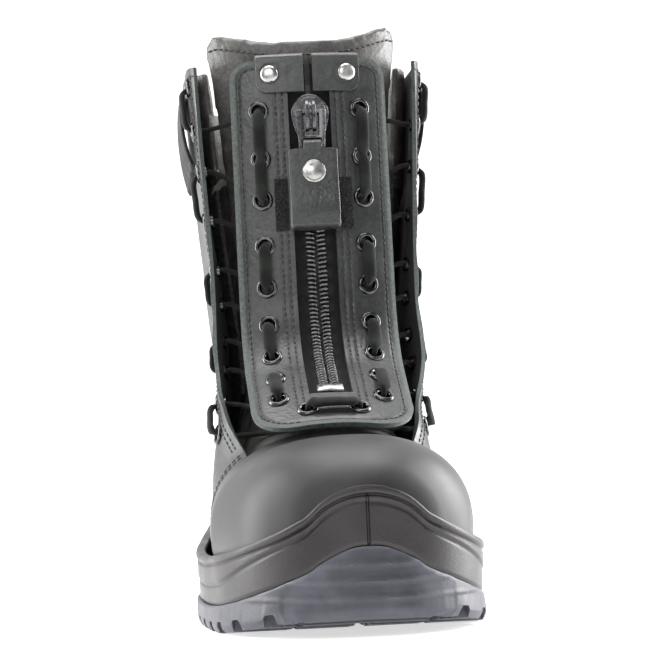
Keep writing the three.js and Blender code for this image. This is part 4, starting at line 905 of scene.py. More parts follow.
def panel_inset(x, s):
    """Distance inside the panel's outline, whose corners are round."""
    side = PANEL_HALF - np.abs(x)
    def corner(end, r):
        return np.where((side < r) & (end < r), r - np.hypot(r - side, r - end), np.minimum(side, end))
    return np.minimum(corner(s, TOP_ROUND), corner(PANEL_LENGTH - s, FOOT_ROUND))


def rounded(gone, r):
    """How far a round corner of radius r draws the side in, a given way along from its end."""
    return np.where(gone < r, r - np.sqrt(np.clip(r * r - (r - gone) ** 2, 0, None)), 0)


def panel_relief(x, s):
    """The binding is drawn down into a groove at its stitches, and the face swells between rows."""
    inset = panel_inset(x, s)
    rows = np.minimum(np.abs(np.abs(x) - 11.7), np.abs(np.abs(x) - 14.7)) + 9 * (s > SLOT_END + 8)
    return (0.12 - 0.40 * np.exp(-((inset - 3.6) / 0.7) ** 2) - 0.22 * np.exp(-(rows / 0.7) ** 2)
            + 0.28 * np.exp(-((inset - 1.9) / 1.3) ** 2))


across = np.r_[np.linspace(-1, 0, 40)[:-1], np.linspace(0, 1, 9), np.linspace(1, 2, 40)[1:]]
down = np.unique(np.r_[0, 0.15, 0.5, np.linspace(1, 8, 12), np.linspace(9, SLOT_END, 200),
                       np.linspace(SLOT_END, 191, 40), 191.5, 191.85, PANEL_LENGTH])
share, s_grid = np.meshgrid(across, down)
half = PANEL_HALF - rounded(s_grid, TOP_ROUND) - rounded(PANEL_LENGTH - s_grid, FOOT_ROUND)
inside = (share >= 0) & (share <= 1)
x_grid = np.where(inside, (2 * share - 1) * SLOT_HALF,
                  np.sign(share) * (SLOT_HALF + (half - SLOT_HALF) * np.where(share > 1, share - 1, -share)))
x_grid = np.where(np.abs(x_grid) > half, np.sign(x_grid) * half, x_grid)
cell_x = (x_grid[:-1, :-1] + x_grid[1:, 1:]) / 2
cell_s = (s_grid[:-1, :-1] + s_grid[1:, 1:]) / 2
bound = (panel_inset(cell_x, cell_s) < BINDING).astype(int) * 3
panel = shell("zip_panel_leather", off_panel(x_grid, s_grid, PANEL_THICK + panel_relief(x_grid, s_grid)),
              off_panel(x_grid, s_grid, 0 * x_grid), SKIN + [EDGE_DYE],
              keep=~((np.abs(cell_x) < SLOT_HALF) & (cell_s < SLOT_END)), zones=bound, bevel=0.35,
              slot="leather", stands_for=["zip_panel"])

EYELET_PLACES = {f"{which}_{row}": (side * x, s) for which, side in (("inner", 1), ("outer", -1))
                 for row, x, s in [(i + 1, EYELET_X, s) for i, s in enumerate(EYELET_ROWS)]
                 + [("foot", *FOOT_EYELET)]}


def square_spots(places):
    """Points of the panel's back, the way out of it, and the way down it, for places (x, s)."""
    x, s = np.array(places, float).T
    return on_panel(x, s), square_to_panel(x, s), on_panel(x, s + 0.5) - on_panel(x, s - 0.5)


drill_points, drill_faces = turned([(0, -6), (EYELET_HOLE + 0.7, -6), (EYELET_HOLE + 0.7, 8), (0, 8)], 24)
eyelet_spots = square_spots(list(EYELET_PLACES.values()))
drill(panel, make_piece("drills", *many(drill_points, drill_faces, *eyelet_spots), []))
print("panel faces:", len(panel.data.polygons))

# %% [markdown]
# Eyelets and rivets are turned shapes: a profile of radius and height is spun about the line
# square to the leather. The eyelets in the quarters are the same as the panel's.

# %% Eyelets and rivets
RIM = PANEL_THICK + RUNNING_GAP
EYELET_PROFILE = [(EYELET_HOLE, -1.2), (EYELET_HOLE + EYELET_BARREL, -1.2),
                  (EYELET_HOLE + EYELET_BARREL, RIM),
                  (EYELET_RIM - 0.15, RIM), (EYELET_RIM, RIM + 0.25), (EYELET_RIM - 0.2, RIM + 0.65),
                  (EYELET_RIM - 0.6, RIM + 0.92), (EYELET_RIM - 1.05, RIM + 1.0),
                  (EYELET_RIM - 1.5, RIM + 0.86),
                  (EYELET_HOLE + 0.15, RIM + 0.5), (EYELET_HOLE, RIM)]
eyelet_points, eyelet_faces = turned(EYELET_PROFILE, 36)
for name, place in EYELET_PLACES.items():
    make_piece(f"eyelet_ring_{name}", *many(eyelet_points, eyelet_faces, *square_spots([place])),
               [BLACK_NICKEL],
               slot="nickel", stands_for=[f"eyelet_{name}"])


def hole_angle(v, side):
    """Angle of a quarter's lace hole: 9 mm behind its front edge."""
    t = np.linspace(QUARTER_FRONT, 1.4, 300)
    run = lengths(boot_skin(v + 0 * t, side * t, 0.0, True), 0)
    return side * np.interp(9.0, run, t)


LACE_LEVELS = [[12.72, 12.15], [11.6, 10.95], [10.2, 9.55], [8.75, 8.15], [7.35, 6.6]]
for which, side in (("inner", 1), ("outer", -1)):
    v = np.array(LACE_LEVELS).ravel()
    t = np.array([hole_angle(one, side) for one in v])
    foot, out = boot_skin(v, t, 0.0, True), unit(boot_skin(v, t, 1.0, True) - boot_skin(v, t, 0.0, True))
    ahead = boot_skin(v + 0.1, t, 0.0, True) - foot
    drill(quarters[which], make_piece("drills", *many(drill_points, drill_faces, foot, out, ahead), []))
    make_piece(f"quarter_eyelets_{which}", *many(eyelet_points, eyelet_faces, foot - out * PANEL_THICK,
                                                          out, ahead),
               [BLACK_NICKEL], slot="nickel")

TAB_THICK = 1.8
rivet_face, rivet_back = PANEL_THICK + TAB_THICK + 3 * RUNNING_GAP, -1.05 - RUNNING_GAP * 2 - TAB_THICK
RIVET_PROFILE = [(0, rivet_back - 1), (2.9, rivet_back - 1), (3.3, rivet_back - 0.5), (3.3, rivet_back),
                 (RIVET_SHANK, rivet_back), (RIVET_SHANK, rivet_face), (RIVET_HEAD - 0.2, rivet_face),
                 (RIVET_HEAD, rivet_face + 0.25), (RIVET_HEAD - 0.15, rivet_face + 0.6),
                 (RIVET_HEAD - 0.8, rivet_face + 1.05), (2.0, rivet_face + 1.35), (0, rivet_face + 1.45)]
for which, side in (("inner", 1), ("outer", -1)):
    make_piece(f"rivet_head_{which}", *many(*turned(RIVET_PROFILE, 36),
                                                    *square_spots([(side * RIVET_X, RIVET_S)])),
               [NICKEL], slot="nickel", stands_for=[f"rivet_{which}"])
print("eyelets:", len(EYELET_PLACES))

# %% [markdown]
# The zip: two woven tapes, and along each a coil of nylon. A real coil is one long spiral; every
# turn that shows is made as one small bent bead, because a few dozen faces are enough for it.

# %% Zip tapes, coils and stop
TAPE_BACK, TAPE_FACE = -1.05, -0.35
COIL_PITCH = 2.0


def panel_slab(name, x_range, s_range, back, face, finishes, rows=60, cols=8, relief=None, **more):
    """Slab in the panel's frame between two heights above its back."""
    s, x = np.meshgrid(np.linspace(*s_range, rows), np.linspace(*x_range, cols), indexing="ij")
    raised = relief(x, s) if relief else 0 * x
    return shell(name, on_panel(x, s, face + raised), on_panel(x, s, back), finishes, **more)


def coil_turn():
    """One turn of the coil: from the tape's edge it arches over to the middle, where it is flattened."""
    u = np.linspace(0, 1, 8)[:, None]
    a = np.arange(8) * math.pi / 4
    centre = np.stack([0.35 + 4.1 * (1 - u), 0.5 * (u - 0.5), 0.65 + 1.35 * np.sin(math.pi * u) ** 0.6], -1)
    head = 1 + 0.5 * smooth(u, 0.8, 0.93) - 0.35 * smooth(u, 0.95, 1.0)
    girth = np.stack([0 * a + 0 * u, 0.52 * head * np.cos(a), 0.55 * np.sin(a) + 0 * u], -1)
    points = (centre + girth).reshape(-1, 3)
    return points, grid_faces(8, 8, wrap=True).tolist() + [list(range(8))[::-1], list(range(56, 64))]


for which, side in (("inner", 1), ("outer", -1)):
    ends = sorted((side * 1.1, side * 14.5))
    panel_slab(f"zip_tape_cloth_{which}", ends, (2, SLOT_END + 7), TAPE_BACK, TAPE_FACE, [ZIP_TAPE] * 3,
               120, 14,
               bevel=0.0, slot="textile", stands_for=[f"zip_tape_{which}"])
    s = np.arange(20.6 + (side > 0) * COIL_PITCH / 2, SLOT_END - 6.3, COIL_PITCH)
    place, out, below = on_panel(0, s), square_to_panel(0, s), on_panel(0, s + 0.5) - on_panel(0, s - 0.5)
    points, faces = coil_turn()
    turned_side = points * [-side, 1, 1]
    make_piece(f"zip_coil_turns_{which}", *many(turned_side, faces, place, out, below),
               [COIL_NYLON], crease=70,
               slot="dark_metal", stands_for=[f"zip_coil_{which}"])
panel_slab("zip_stop_clip", (-5.6, 5.6), (162.5, 167.4), 0.0, 3.0, [NICKEL] * 3, 12, 24, bevel=0.6,
           relief=lambda x, s: (0.6 * np.cos(x / 5.6 * 1.4)
                                * np.abs(np.sin((s - 162.5) / 4.9 * math.pi)) ** 0.5),
           slot="nickel", stands_for=["zip_bottom_stop"])
for which, side in (("inner", 1), ("outer", -1)):
    ends = sorted((side * 11.4, side * 17.2))
    panel_slab(f"hook_patch_pile_{which}", ends, (54, 77), RIM, RIM + 0.6, [HOOK_TAPE] * 3, 60, 16, bevel=0.0,
               relief=lambda x, s: (0.25 + 0.25 * np.sin(5.2 * x + 1.7 * np.sin(2.9 * s))
                                     * np.sin(5.0 * s + x)),
               slot="textile", stands_for=[f"hook_patch_{which}"])
print("zip made")

# %% [markdown]
# The top tabs close the zip's end: a strip of leather is folded over the panel's top edge beside
# the zip and riveted. The fold is a curve seen from the side, carried across the tab's width.

# %% Top tabs
def folded_tab(side):
    """Outer and inner grid of a tab: down its front, round the fold, and down the panel's back."""
    x = side * np.linspace(2, 23, 40)
    corner = 15 - rounded(23 - np.abs(x), 5.0)
    u = np.linspace(0, 1, 46)[:, None]
    turn = np.clip((u - 0.55) / 0.2, 0, 1) * math.pi
    lines = []
    for over in (TAB_THICK, 0.0):
        face, rear = RIM + over, TAPE_BACK - RUNNING_GAP - over
        middle, reach = (face + rear) / 2, (face - rear) / 2
        s = np.where(u < 0.55, corner + (-0.4 - corner) * u / 0.55,
                     -0.4 + 12.4 * np.clip((u - 0.75) / 0.25, 0, 1))
        s = s - (0.4 + over) * np.sin(turn)
        n = middle + reach * np.cos(turn) + 0 * x
        dimple = np.exp(-((np.abs(x) - 7.8) ** 2 + (s - 6.5) ** 2) / 4.5) * (u < 0.55)
        near = (np.exp(-(np.hypot(np.abs(x) - RIVET_X, s - RIVET_S) - RIVET_HEAD - 0.5) ** 2 / 0.5)
                * (u < 0.55))
        lines.append(on_panel(x + 0 * s, s, n - (0.3 * dimple + 0.25 * near) * (over > 0)))
    return lines


for which, side in (("inner", 1), ("outer", -1)):
    shell(f"top_tab_leather_{which}", *folded_tab(side), SKIN, bevel=0.5, slot="leather",
          stands_for=[f"top_tab_{which}"])

# %% [markdown]
# The slider, puller and press stud. Die castings have soft edges everywhere, so each block gets
# a Bevel; the puller is a plate whose window and strap slot are squares left out of its grid.

# %% Zip slider and puller
PIVOT_S, PIVOT_N, BAR_S = 25.0, 6.3, 40.6


def flat(x, s, n):
    """Point of the plane that touches the panel along its middle."""
    x, s, n = np.broadcast_arrays(*(np.asarray(q, float) for q in (x, s, n)))
    return on_panel(0 * x, s, n) + np.stack([x, 0 * x, 0 * x], -1)


def prism(outline, near, far, axis_x):
    """Closed block between two copies of an outline: of (s, n) across the boot, or (x, s) out of it."""
    p, q = np.array(outline, float).T
    place = (lambda level: flat(level, p, q)) if axis_x else (lambda level: flat(p, q, level))
    n = len(p)
    k = np.arange(n)
    sides = np.stack([k, (k + 1) % n, (k + 1) % n + n, k + n], -1).tolist()
    return np.concatenate([place(near), place(far)]), sides + [k[::-1].tolist(), (k + n).tolist()]


def soft_outline(points, cut, steps=5):
    """Outline with each corner replaced by a curve that starts and ends a given way from it."""
    p = np.array(points, float)
    back, ahead = np.roll(p, 1, 0), np.roll(p, -1, 0)
    a = p + unit(back - p) * np.minimum(cut, np.linalg.norm(back - p, axis=1, keepdims=True) * 0.45)
    b = p + unit(ahead - p) * np.minimum(cut, np.linalg.norm(ahead - p, axis=1, keepdims=True) * 0.45)
    u = np.linspace(0, 1, steps)[None, :, None]
    return ((1 - u) ** 2 * a[:, None] + 2 * u * (1 - u) * p[:, None] + u**2 * b[:, None]).reshape(-1, 2)


def joined(*blocks):
    """Several closed blocks as one set of points and faces, each turned to face outwards."""
    points, faces, first = [], [], 0
    for block_points, block_faces in blocks:
        outward = volume(block_points - block_points.mean(0), [list(f) for f in block_faces]) > 0
        faces += [[first + i for i in (f if outward else f[::-1])] for f in block_faces]
        points.append(block_points)
        first += len(block_points)
    return np.concatenate(points), faces


shield = soft_outline([(-3.6, 16.6), (3.6, 16.6), (8.3, 22.5), (8.3, 27.5), (5.6, 37), (-5.6, 37),
                       (-8.3, 27.5),
                       (-8.3, 22.5)], 4.0)
lobe = soft_outline([(18.2, 3.6), (34, 3.6), (33, 6.6), (27, 8.4), (21.5, 8.1)], 2.6)
make_piece("zip_slider_body", *joined(
    prism(shield, 2.95, 4.25, False), prism(0.86 * (shield - [0, 26]) + [0, 26], 4.2, 4.8, False),
    prism(shield, -2.5, -1.4, False),
    prism([(-0.75, 17), (0.75, 17), (0.75, 20.5), (-0.75, 20.5)], -1.9, 3.4, False),
    prism(lobe, -2.35, -0.6, True), prism(lobe, 0.6, 2.35, True),
    prism([(19, 3.6), (33, 3.6), (32, 5.9), (22, 6.3)], -0.8, 0.8, True)),
    [GUNMETAL], crease=30, body="slider", slot="dark_metal", bevel=0.35, stands_for=["slider"])

x_lines = np.r_[np.linspace(-6.6, -4.6, 3), -3.4, np.linspace(-1.7, 1.7, 3), 3.4, np.linspace(4.6, 6.6, 3)]
s_lines = np.r_[24, 26, 28, 30, 32, 34, 35.5, 37, 38.4, 39.85, 41.35]
px, ps = np.meshgrid(x_lines, s_lines)
mid_x, mid_s = (px[:-1, :-1] + px[1:, 1:]) / 2, (ps[:-1, :-1] + ps[1:, 1:]) / 2
opening = (np.abs(mid_x) < 3.4) & (mid_s < 35.5) | (np.abs(mid_x) < 4.6) & (mid_s > 37) & (mid_s < 39.85)
taper = 1 - 0.12 * smooth(ps, 26, 41)
raised = 0.25 * smooth(np.abs(px), 3.4, 5.0)
shell("zip_puller_plate", flat(px * taper, ps, 7.05 + raised),
                     flat(px * taper, ps, 5.55 + 0 * px),
                     [GUNMETAL] * 3, bevel=0.4, keep=~opening, body="puller", slot="dark_metal",
                     stands_for=["puller"])
pin_outline = np.stack([PIVOT_S + 0.9 * np.cos(np.arange(20) * math.pi / 10),
                        PIVOT_N + 0.9 * np.sin(np.arange(20) * math.pi / 10)], -1)
make_piece("zip_puller_pin", *prism(pin_outline, -3.9, 3.9, True), [GUNMETAL], crease=30, body="puller",
           slot="dark_metal")

# %% [markdown]
# The pull tab is one strap looped round the puller's bar: narrow where it passes the slot, wide
# below, with a soft roll at its lower end and a press stud that holds the loop shut.

# %% Pull tab and press stud
TAB_HALF, NECK_HALF, TAB_LOOP, TAB_REACH = 10.8, 4.1, 1.45, 34.0
u = np.linspace(0, 1, 180, endpoint=False)
straight, bend = TAB_REACH, math.pi * (TAB_LOOP + TAB_THICK / 2)
run = u * 2 * (straight + bend)
loop_angle = np.where(run < straight, 0, np.where(run < straight + bend, (run - straight) / bend * math.pi,
                      np.where(run < 2 * straight + bend, math.pi,
                               math.pi + (run - 2 * straight - bend) / bend * math.pi)))
along_s = np.where(run < straight, run, np.where(run < straight + bend, straight,
                   np.where(run < 2 * straight + bend, 2 * straight + bend - run, 0)))
mid_radius = TAB_LOOP + TAB_THICK / 2
loop_s = BAR_S + along_s + mid_radius * np.sin(loop_angle)
belly = 1.5 * np.sin(np.clip((along_s - 17) / (TAB_REACH - 15), 0, 1) * math.pi) * (np.cos(loop_angle) > 0.5)
loop_n = PIVOT_N + mid_radius * np.cos(loop_angle) + belly
half_width = NECK_HALF + (TAB_HALF - NECK_HALF) * smooth(loop_s, 41.4, 42.3)
corner = np.array([(1, 0.55), (0.97, 0.85), (0.9, 1), (-0.9, 1), (-0.97, 0.85), (-1, 0.55),
                   (-1, -0.55), (-0.97, -0.85), (-0.9, -1), (0.9, -1), (0.97, -0.85), (1, -0.55)])
corner = np.concatenate([corner[:3], np.stack([np.linspace(0.8, -0.8, 9), np.ones(9)], -1), corner[3:9],
                         np.stack([np.linspace(-0.8, 0.8, 9), -np.ones(9)], -1), corner[9:]])
lift = TAB_THICK / 2 * corner[:, 1]
loop_points = flat(half_width[:, None] * corner[:, 0], loop_s[:, None] + lift * np.sin(loop_angle)[:, None],
                   loop_n[:, None] + lift * np.cos(loop_angle)[:, None])
make_piece("pull_tab_leather", loop_points,
                      grid_faces(*loop_points.shape[:2], wrap=True, loop=True),
                      [BLACK_LEATHER], crease=60, body="pull_tab", slot="leather", stands_for=["pull_tab"])

SNAP_S, SNAP_HEAD = 52.2, 5.1
snap_at, snap_out = flat(0, SNAP_S, 0)[None], (flat(0, SNAP_S, 1) - flat(0, SNAP_S, 0))[None]
snap_down = (flat(0, SNAP_S + 1, 0) - flat(0, SNAP_S, 0))[None]
SNAP_PROFILE = [(0, 6.5), (2.6, 6.5), (2.6, 7.4), (1.5, 7.4), (1.5, 9.75), (SNAP_HEAD - 0.2, 9.75),
                (SNAP_HEAD, 9.95),
                (SNAP_HEAD, 10.25), (SNAP_HEAD - 0.25, 10.5), (SNAP_HEAD - 0.8, 10.62),
                (SNAP_HEAD - 1.3, 10.58),
                (SNAP_HEAD - 1.6, 10.68), (2.5, 11.1), (0, 11.25)]
make_piece("press_stud_cap", *many(*turned(SNAP_PROFILE, 44), snap_at, snap_out, snap_down),
           [NICKEL], crease=50,
           body="pull_tab", slot="nickel", stands_for=["snap_cap"])
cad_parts["snap_stud"].data.materials.clear()
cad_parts["snap_stud"].data.materials.append(NICKEL)
print("zip hardware made")

# %% [markdown]
# The lace. One lace runs down both sides: outside each quarter from hole to hole, behind to the
# panel, over its face between two eyelets, and at the foot across from one side to the other.
# It is a flat braid, wide in the open and squeezed together in the eyelets.

# %% Lace
LACE_UNDER, LACE_OVER, LACE_OUTSIDE = -3.6, PANEL_THICK + 4, 3.4


def lace_side(side):
    """Route of one side as (point, across) rows: across is the lace's wide direction there."""
    x = side * EYELET_X
    across_panel = np.array([side, 0.0, 0.0])
    on = lambda s, n: (off_panel(x, s, n), across_panel)

    def over(s0, s1):
        return [on(s0, LACE_UNDER), on(s0, -1), on(s0, PANEL_THICK), on(s0 + 1.1, LACE_OVER - 0.9),
                on((s0 + s1) / 2, LACE_OVER), on(s1 - 1.1, LACE_OVER - 0.9), on(s1, PANEL_THICK), on(s1, -1),
                on(s1, -2), on(s1, LACE_UNDER)]

    def on_quarter(v, depth):
        t = hole_angle(v, side)
        ahead_of, behind = boot_skin(v, t + 0.03, 0, True), boot_skin(v, t - 0.03, 0, True)
        return boot_skin(v, t, depth, True), unit(ahead_of - behind)

    def outside(v0, v1):
        step = (v1 - v0) * 0.12
        return [on_quarter(v0, -6), on_quarter(v0, -1), on_quarter(v0 + step, LACE_OUTSIDE - 0.5),
                on_quarter((v0 + v1) / 2, LACE_OUTSIDE), on_quarter(v1 - step, LACE_OUTSIDE - 0.5),
                on_quarter(v1, -1), on_quarter(v1, -6)]

    def foot(n, dx=0.0):
        place = off_panel(side * FOOT_EYELET[0], FOOT_EYELET[1], n) - np.array([side * dx, 0, 0])
        return place, unit(on_panel(0, FOOT_EYELET[1] + 1) - on_panel(0, FOOT_EYELET[1] - 1))

    e1, e2, e3, e4, e5, e6, e7, e8, e9 = EYELET_ROWS
    a, b, c, d, e = [outside(*levels) for levels in LACE_LEVELS]
    return (a[1:] + over(e1, e2)[:-4] + [on(e2 + 3.5, LACE_OVER - 0.6)] + over(e2 + 4, e3)[4:] + b
            + over(e4, e5)
            + c + over(e6, e7) + d + over(e8, e9) + e[:-1] + [on_quarter(LACE_LEVELS[4][1], -5)]
            + [foot(LACE_UNDER - 0.8, -0.5), foot(-1), foot(PANEL_THICK), foot(LACE_OVER - 0.9, 1.1),
               foot(LACE_OVER - 0.4, 6)])


def smooth_curve(points, steps=14):
    """Curve through points, each span a cubic whose slopes allow for the square roots of the distances."""
    p = np.concatenate([[2 * points[0] - points[1]], points, [2 * points[-1] - points[-2]]])
    d = np.maximum(np.linalg.norm(np.diff(p, axis=0), axis=1), 1e-4)[:, None] ** 0.5
    p0, p1, p2, p3 = p[:-3], p[1:-2], p[2:-1], p[3:]
    d0, d1, d2 = d[:-2], d[1:-1], d[2:]
    m1 = ((p1 - p0) / d0 - (p2 - p0) / (d0 + d1) + (p2 - p1) / d1) * d1
    m2 = ((p2 - p1) / d1 - (p3 - p1) / (d1 + d2) + (p3 - p2) / d2) * d1
    u = (np.arange(steps) / steps)[:, None, None]
    curve = ((2 * u**3 - 3 * u**2 + 1) * p1 + (u**3 - 2 * u**2 + u) * m1
             + (3 * u**2 - 2 * u**3) * p2 + (u**3 - u**2) * m2)
    return np.concatenate([curve.transpose(1, 0, 2).reshape(-1, 3), points[-1:]])


rows_out, rows_in = lace_side(-1), lace_side(1)[::-1]
route = np.array([p for p, _ in rows_out + rows_in])
wide = np.array([w for _, w in rows_out + rows_in])
centre, wide = even(smooth_curve(route), 0.7, np.repeat(wide, 14, 0)[:14 * (len(route) - 1) + 1])
ahead = unit(np.gradient(centre, axis=0))
sides = (-1, 1)
open_places = np.concatenate([
    np.array([off_panel(side * EYELET_X, (a + b) / 2, LACE_OVER) for side in sides
              for a, b in np.array(EYELET_ROWS)[[[0, 1], [1, 2], [3, 4], [5, 6], [7, 8]]]]),
    np.array([boot_skin(sum(levels) / 2, hole_angle(sum(levels) / 2, side), LACE_OUTSIDE, True)
              for side in sides for levels in LACE_LEVELS]), [off_panel(0, FOOT_EYELET[1], LACE_OVER - 0.4)]])
holes = np.concatenate([np.array([off_panel(x, s, 1) for x, s in EYELET_PLACES.values()]),
                        np.array([boot_skin(v, hole_angle(v, side), -1, True) for side in sides
                                  for v in np.ravel(LACE_LEVELS)])])
nearest = lambda places: np.linalg.norm(centre[:, None] - places[None], axis=-1).min(1)
openness = smooth(nearest(holes), 2.8, 5.6) * (1 - smooth(nearest(open_places), 8.5, 11.5))
sideways = np.zeros_like(centre)
current = wide[0]
for i in range(len(centre)):
    target = wide[i] if np.dot(wide[i], current) >= 0 else -wide[i]
    current = current + target * (0.02 + 0.4 * openness[i])
    current = current - np.dot(current, ahead[i]) * ahead[i]
    current = current / max(np.linalg.norm(current), 1e-6)
    sideways[i] = current
angle = np.arange(16) * math.pi / 8
half_wide = (1.15 + 1.65 * openness) + 0.10 * np.sin(np.arange(len(centre)) * 0.7 / 1.7 * 2 * math.pi)
half_thick = 1.05 + 0.35 * openness
up = np.cross(sideways, ahead)
rings = (centre[:, None] + sideways[:, None] * (half_wide[:, None] * np.cos(angle))[..., None]
         + up[:, None] * (half_thick[:, None] * np.sign(np.sin(angle))
                            * np.abs(np.sin(angle)) ** 0.8)[..., None])
run = lengths(centre, 0)
lace_uv = np.stack([np.broadcast_to(np.cos(angle) * 2.8, (len(run), 16)),
                    np.repeat(run[:, None], 16, 1)], -1) * MM
count = len(centre) * 16
lace_faces = grid_faces(len(centre), 16, wrap=True).tolist() + [list(range(16))[::-1],
                                                                list(range(count - 16, count))]
make_piece("lace_braid", rings, lace_faces, [LACE_BRAID], uv=lace_uv, crease=60, slot="textile",
           stands_for=["lace"])
print("lace length in mm:", round(float(run[-1])))

# %% [markdown]
# Pull loops: woven straps sewn flat at both ends, which lie close along the shaft until pulled.

# %% Pull loops
for which, side in (("inner", 1), ("outer", -1)):
    u, k = np.meshgrid(np.linspace(0, 1, 60), np.linspace(-1, 1, 14), indexing="ij")
    v, t = 12.74 - 0.88 * u, side * (1.555 + 0.085 * k)
    stand = 0.6 + 2.6 * np.sin(math.pi * np.clip(u, 0, 1)) ** 0.7
    shell(f"pull_loop_webbing_{which}", boot_skin(v, t, stand + 1.6 - 0.3 * np.abs(k) ** 6, True),
          boot_skin(v, t, stand, True), [WEBBING] * 3, bevel=0.3, slot="textile",
          stands_for=[f"pull_loop_{which}"])
    for end, v_end in (("upper", 12.70), ("lower", 11.90)):
        line_t = side * np.linspace(1.555 - 0.075, 1.555 + 0.075, 20)
        at = boot_skin(v_end + 0 * line_t, line_t, 2.5, True)
        stitches(f"loop_stitch_{which}_{end}", at,
                 unit(at - boot_skin(v_end + 0 * line_t, line_t, 1.5, True)),
                 BLACK_THREAD, 2.2, 1.7, 0.4, slot="textile")
print("pull loops made")

# %% [markdown]
# Padded leather. The tongue, the collar and the footbed are soft pads, so each starts as a
# slightly thin closed form, gets an even mesh, and is blown up by a cloth simulation: a little
# pressure inside swells the leather, and points on the sewn lines are held. How far a point may
# move is capped, so that the pad stays clear of its neighbours.

# %% Cloth simulation for a pad
def swell(piece, voxel, cap, sewn=None, pressure=4.0):
    """Even mesh, pressure inside for 20 frames, movement capped in mm, then one subdivision."""
    remesh = piece.modifiers.new("even_mesh", "REMESH")
    remesh.mode, remesh.voxel_size = "VOXEL", voxel * MM
    bpy.context.view_layer.update()
    even_mesh = bpy.data.meshes.new_from_object(piece.evaluated_get(bpy.context.evaluated_depsgraph_get()))
    finish = piece.data.materials[0]
    piece.modifiers.clear()
    piece.data = even_mesh
    even_mesh.materials.clear()
    even_mesh.materials.append(finish)
    rest = np.zeros(len(even_mesh.vertices) * 3)
    even_mesh.vertices.foreach_get("co", rest)
    rest = rest.reshape(-1, 3)
    held = piece.vertex_groups.new(name="sewn")
    if sewn is not None:
        held.add(np.flatnonzero(sewn(rest / MM - SHIFT)).tolist(), 1.0, "REPLACE")
    cloth = piece.modifiers.new("air", "CLOTH")
    cloth.settings.use_pressure = True
    cloth.settings.uniform_pressure_force = pressure
    cloth.settings.vertex_group_mass = "sewn"
    cloth.settings.effector_weights.gravity = 0
    cloth.settings.quality = 5
    cloth.point_cache.frame_start, cloth.point_cache.frame_end = 1, 20
    scene = bpy.context.scene
    for step in range(1, 21):
        scene.frame_set(step)
    blown = piece.evaluated_get(bpy.context.evaluated_depsgraph_get()).to_mesh()
    moved = np.zeros(len(rest) * 3)
    blown.vertices.foreach_get("co", moved)
    piece.modifiers.clear()
    move = moved.reshape(-1, 3) - rest
    far = np.linalg.norm(move, axis=1, keepdims=True)
    rest = rest + move * np.minimum(1, cap * MM / np.maximum(far, 1e-9))
    even_mesh.vertices.foreach_set("co", rest.ravel())
    scene.frame_set(1)
    even_mesh.polygons.foreach_set("use_smooth", np.ones(len(even_mesh.polygons), bool))
    even_mesh.update()
    finer = piece.modifiers.new("finer", "SUBSURF")
    finer.levels = finer.render_levels = 1
    return piece


# %% Tongue
TONGUE_HALF, TONGUE_TOP = 0.95, 13.72


def tongue_top(v, t):
    """The tongue's top edge dips in the middle and rises to an ear at each side, higher on the inner one."""
    ear = (np.abs(t) / TONGUE_HALF) ** 2
    return v + ((0.16 + 0.07 * np.sign(t)) * ear - 0.30 * (1 - ear)
                - 0.36 * ear**6) * smooth(v, 12.0, TONGUE_TOP)


def tongue_grid(depth, edge_in=0.0):
    """Grid of the tongue's face at a depth, drawn in a little at its edges."""
    v, t = np.meshgrid(np.linspace(5.3, TONGUE_TOP, 110), np.linspace(-TONGUE_HALF, TONGUE_HALF, 60),
                       indexing="ij")
    return boot_skin(tongue_top(v, t), t, depth - edge_in * (np.abs(t) / TONGUE_HALF) ** 8)


roll = 2.6 * smooth(np.linspace(5.3, TONGUE_TOP, 110), 12.7, 13.4)[:, None]
tongue = shell("tongue_padded", tongue_grid(-2.6 + roll), tongue_grid(-7.6 - roll / 2, -1.5),
               [SOFT_LEATHER] * 3, bevel=0.0,
               slot="soft_leather", stands_for=["tongue"])
v_line = np.linspace(6.5, 13.2, 60)
quilting = np.concatenate([boot_skin(tongue_top(v_line, 0 * v_line + k), 0 * v_line + k, -2.6)
                          for k in (-0.72, 0.72)])
t_line = np.linspace(-0.88, 0.88, 60)
top_line = boot_skin(tongue_top(13.42 + 0 * t_line, t_line), t_line, 0.0)
lines = np.concatenate([quilting, top_line])
near_lines = lambda p: np.linalg.norm(p[:, None] - lines[None], axis=-1).min(1) < 2.0
swell(tongue, 2.4, 2.2, near_lines, pressure=4.0)
print("tongue faces:", len(tongue.data.polygons))

# %% Collar and footbed
v, t = np.meshgrid(np.linspace(11.66, 13.02, 24), np.linspace(1.02, 2 * math.pi - 1.02, 150), indexing="ij")
collar = shell("collar_padded", boot_skin(shaft_edge(v, t), t, -3.0), boot_skin(shaft_edge(v, t), t, -6.6),
               [SOFT_LEATHER] * 3, bevel=0.0, slot="soft_leather", stands_for=["collar"])
swell(collar, 2.2, 1.2, pressure=5.0)


def footbed_stations(x, y):
    """Profile of the footbed: flat below, round at its edge, and raised under the arch and heel's rim."""
    top = lambda qx, qy: bed_z(qy) + 9.5 + 1.2 * smooth(np.abs(qx), 12, 30)
    low = lambda qx, qy: bed_z(qy) + 4.3
    return [(-13, share, low) for share in (1, 0.66, 0.33, 0)] + [
        (-12.2, 0, lambda qx, qy: bed_z(qy) + 6.5), (-12.6, 0, lambda qx, qy: bed_z(qy) + 9.0)] + [
        (-14, share, top) for share in (0, 0.33, 0.66, 1)]


footbed = loft("footbed_foam", footbed_stations, LINING, count=160, slot="foam", stands_for=["footbed"])
swell(footbed, 4.0, 1.0, pressure=3.0)
print("pads made:", [o.name for o in (tongue, collar, footbed)])

# %% [markdown]
# Stitching is what makes leather read as sewn. Each row is a line on the surface, and a bead of
# thread stands at every stitch.

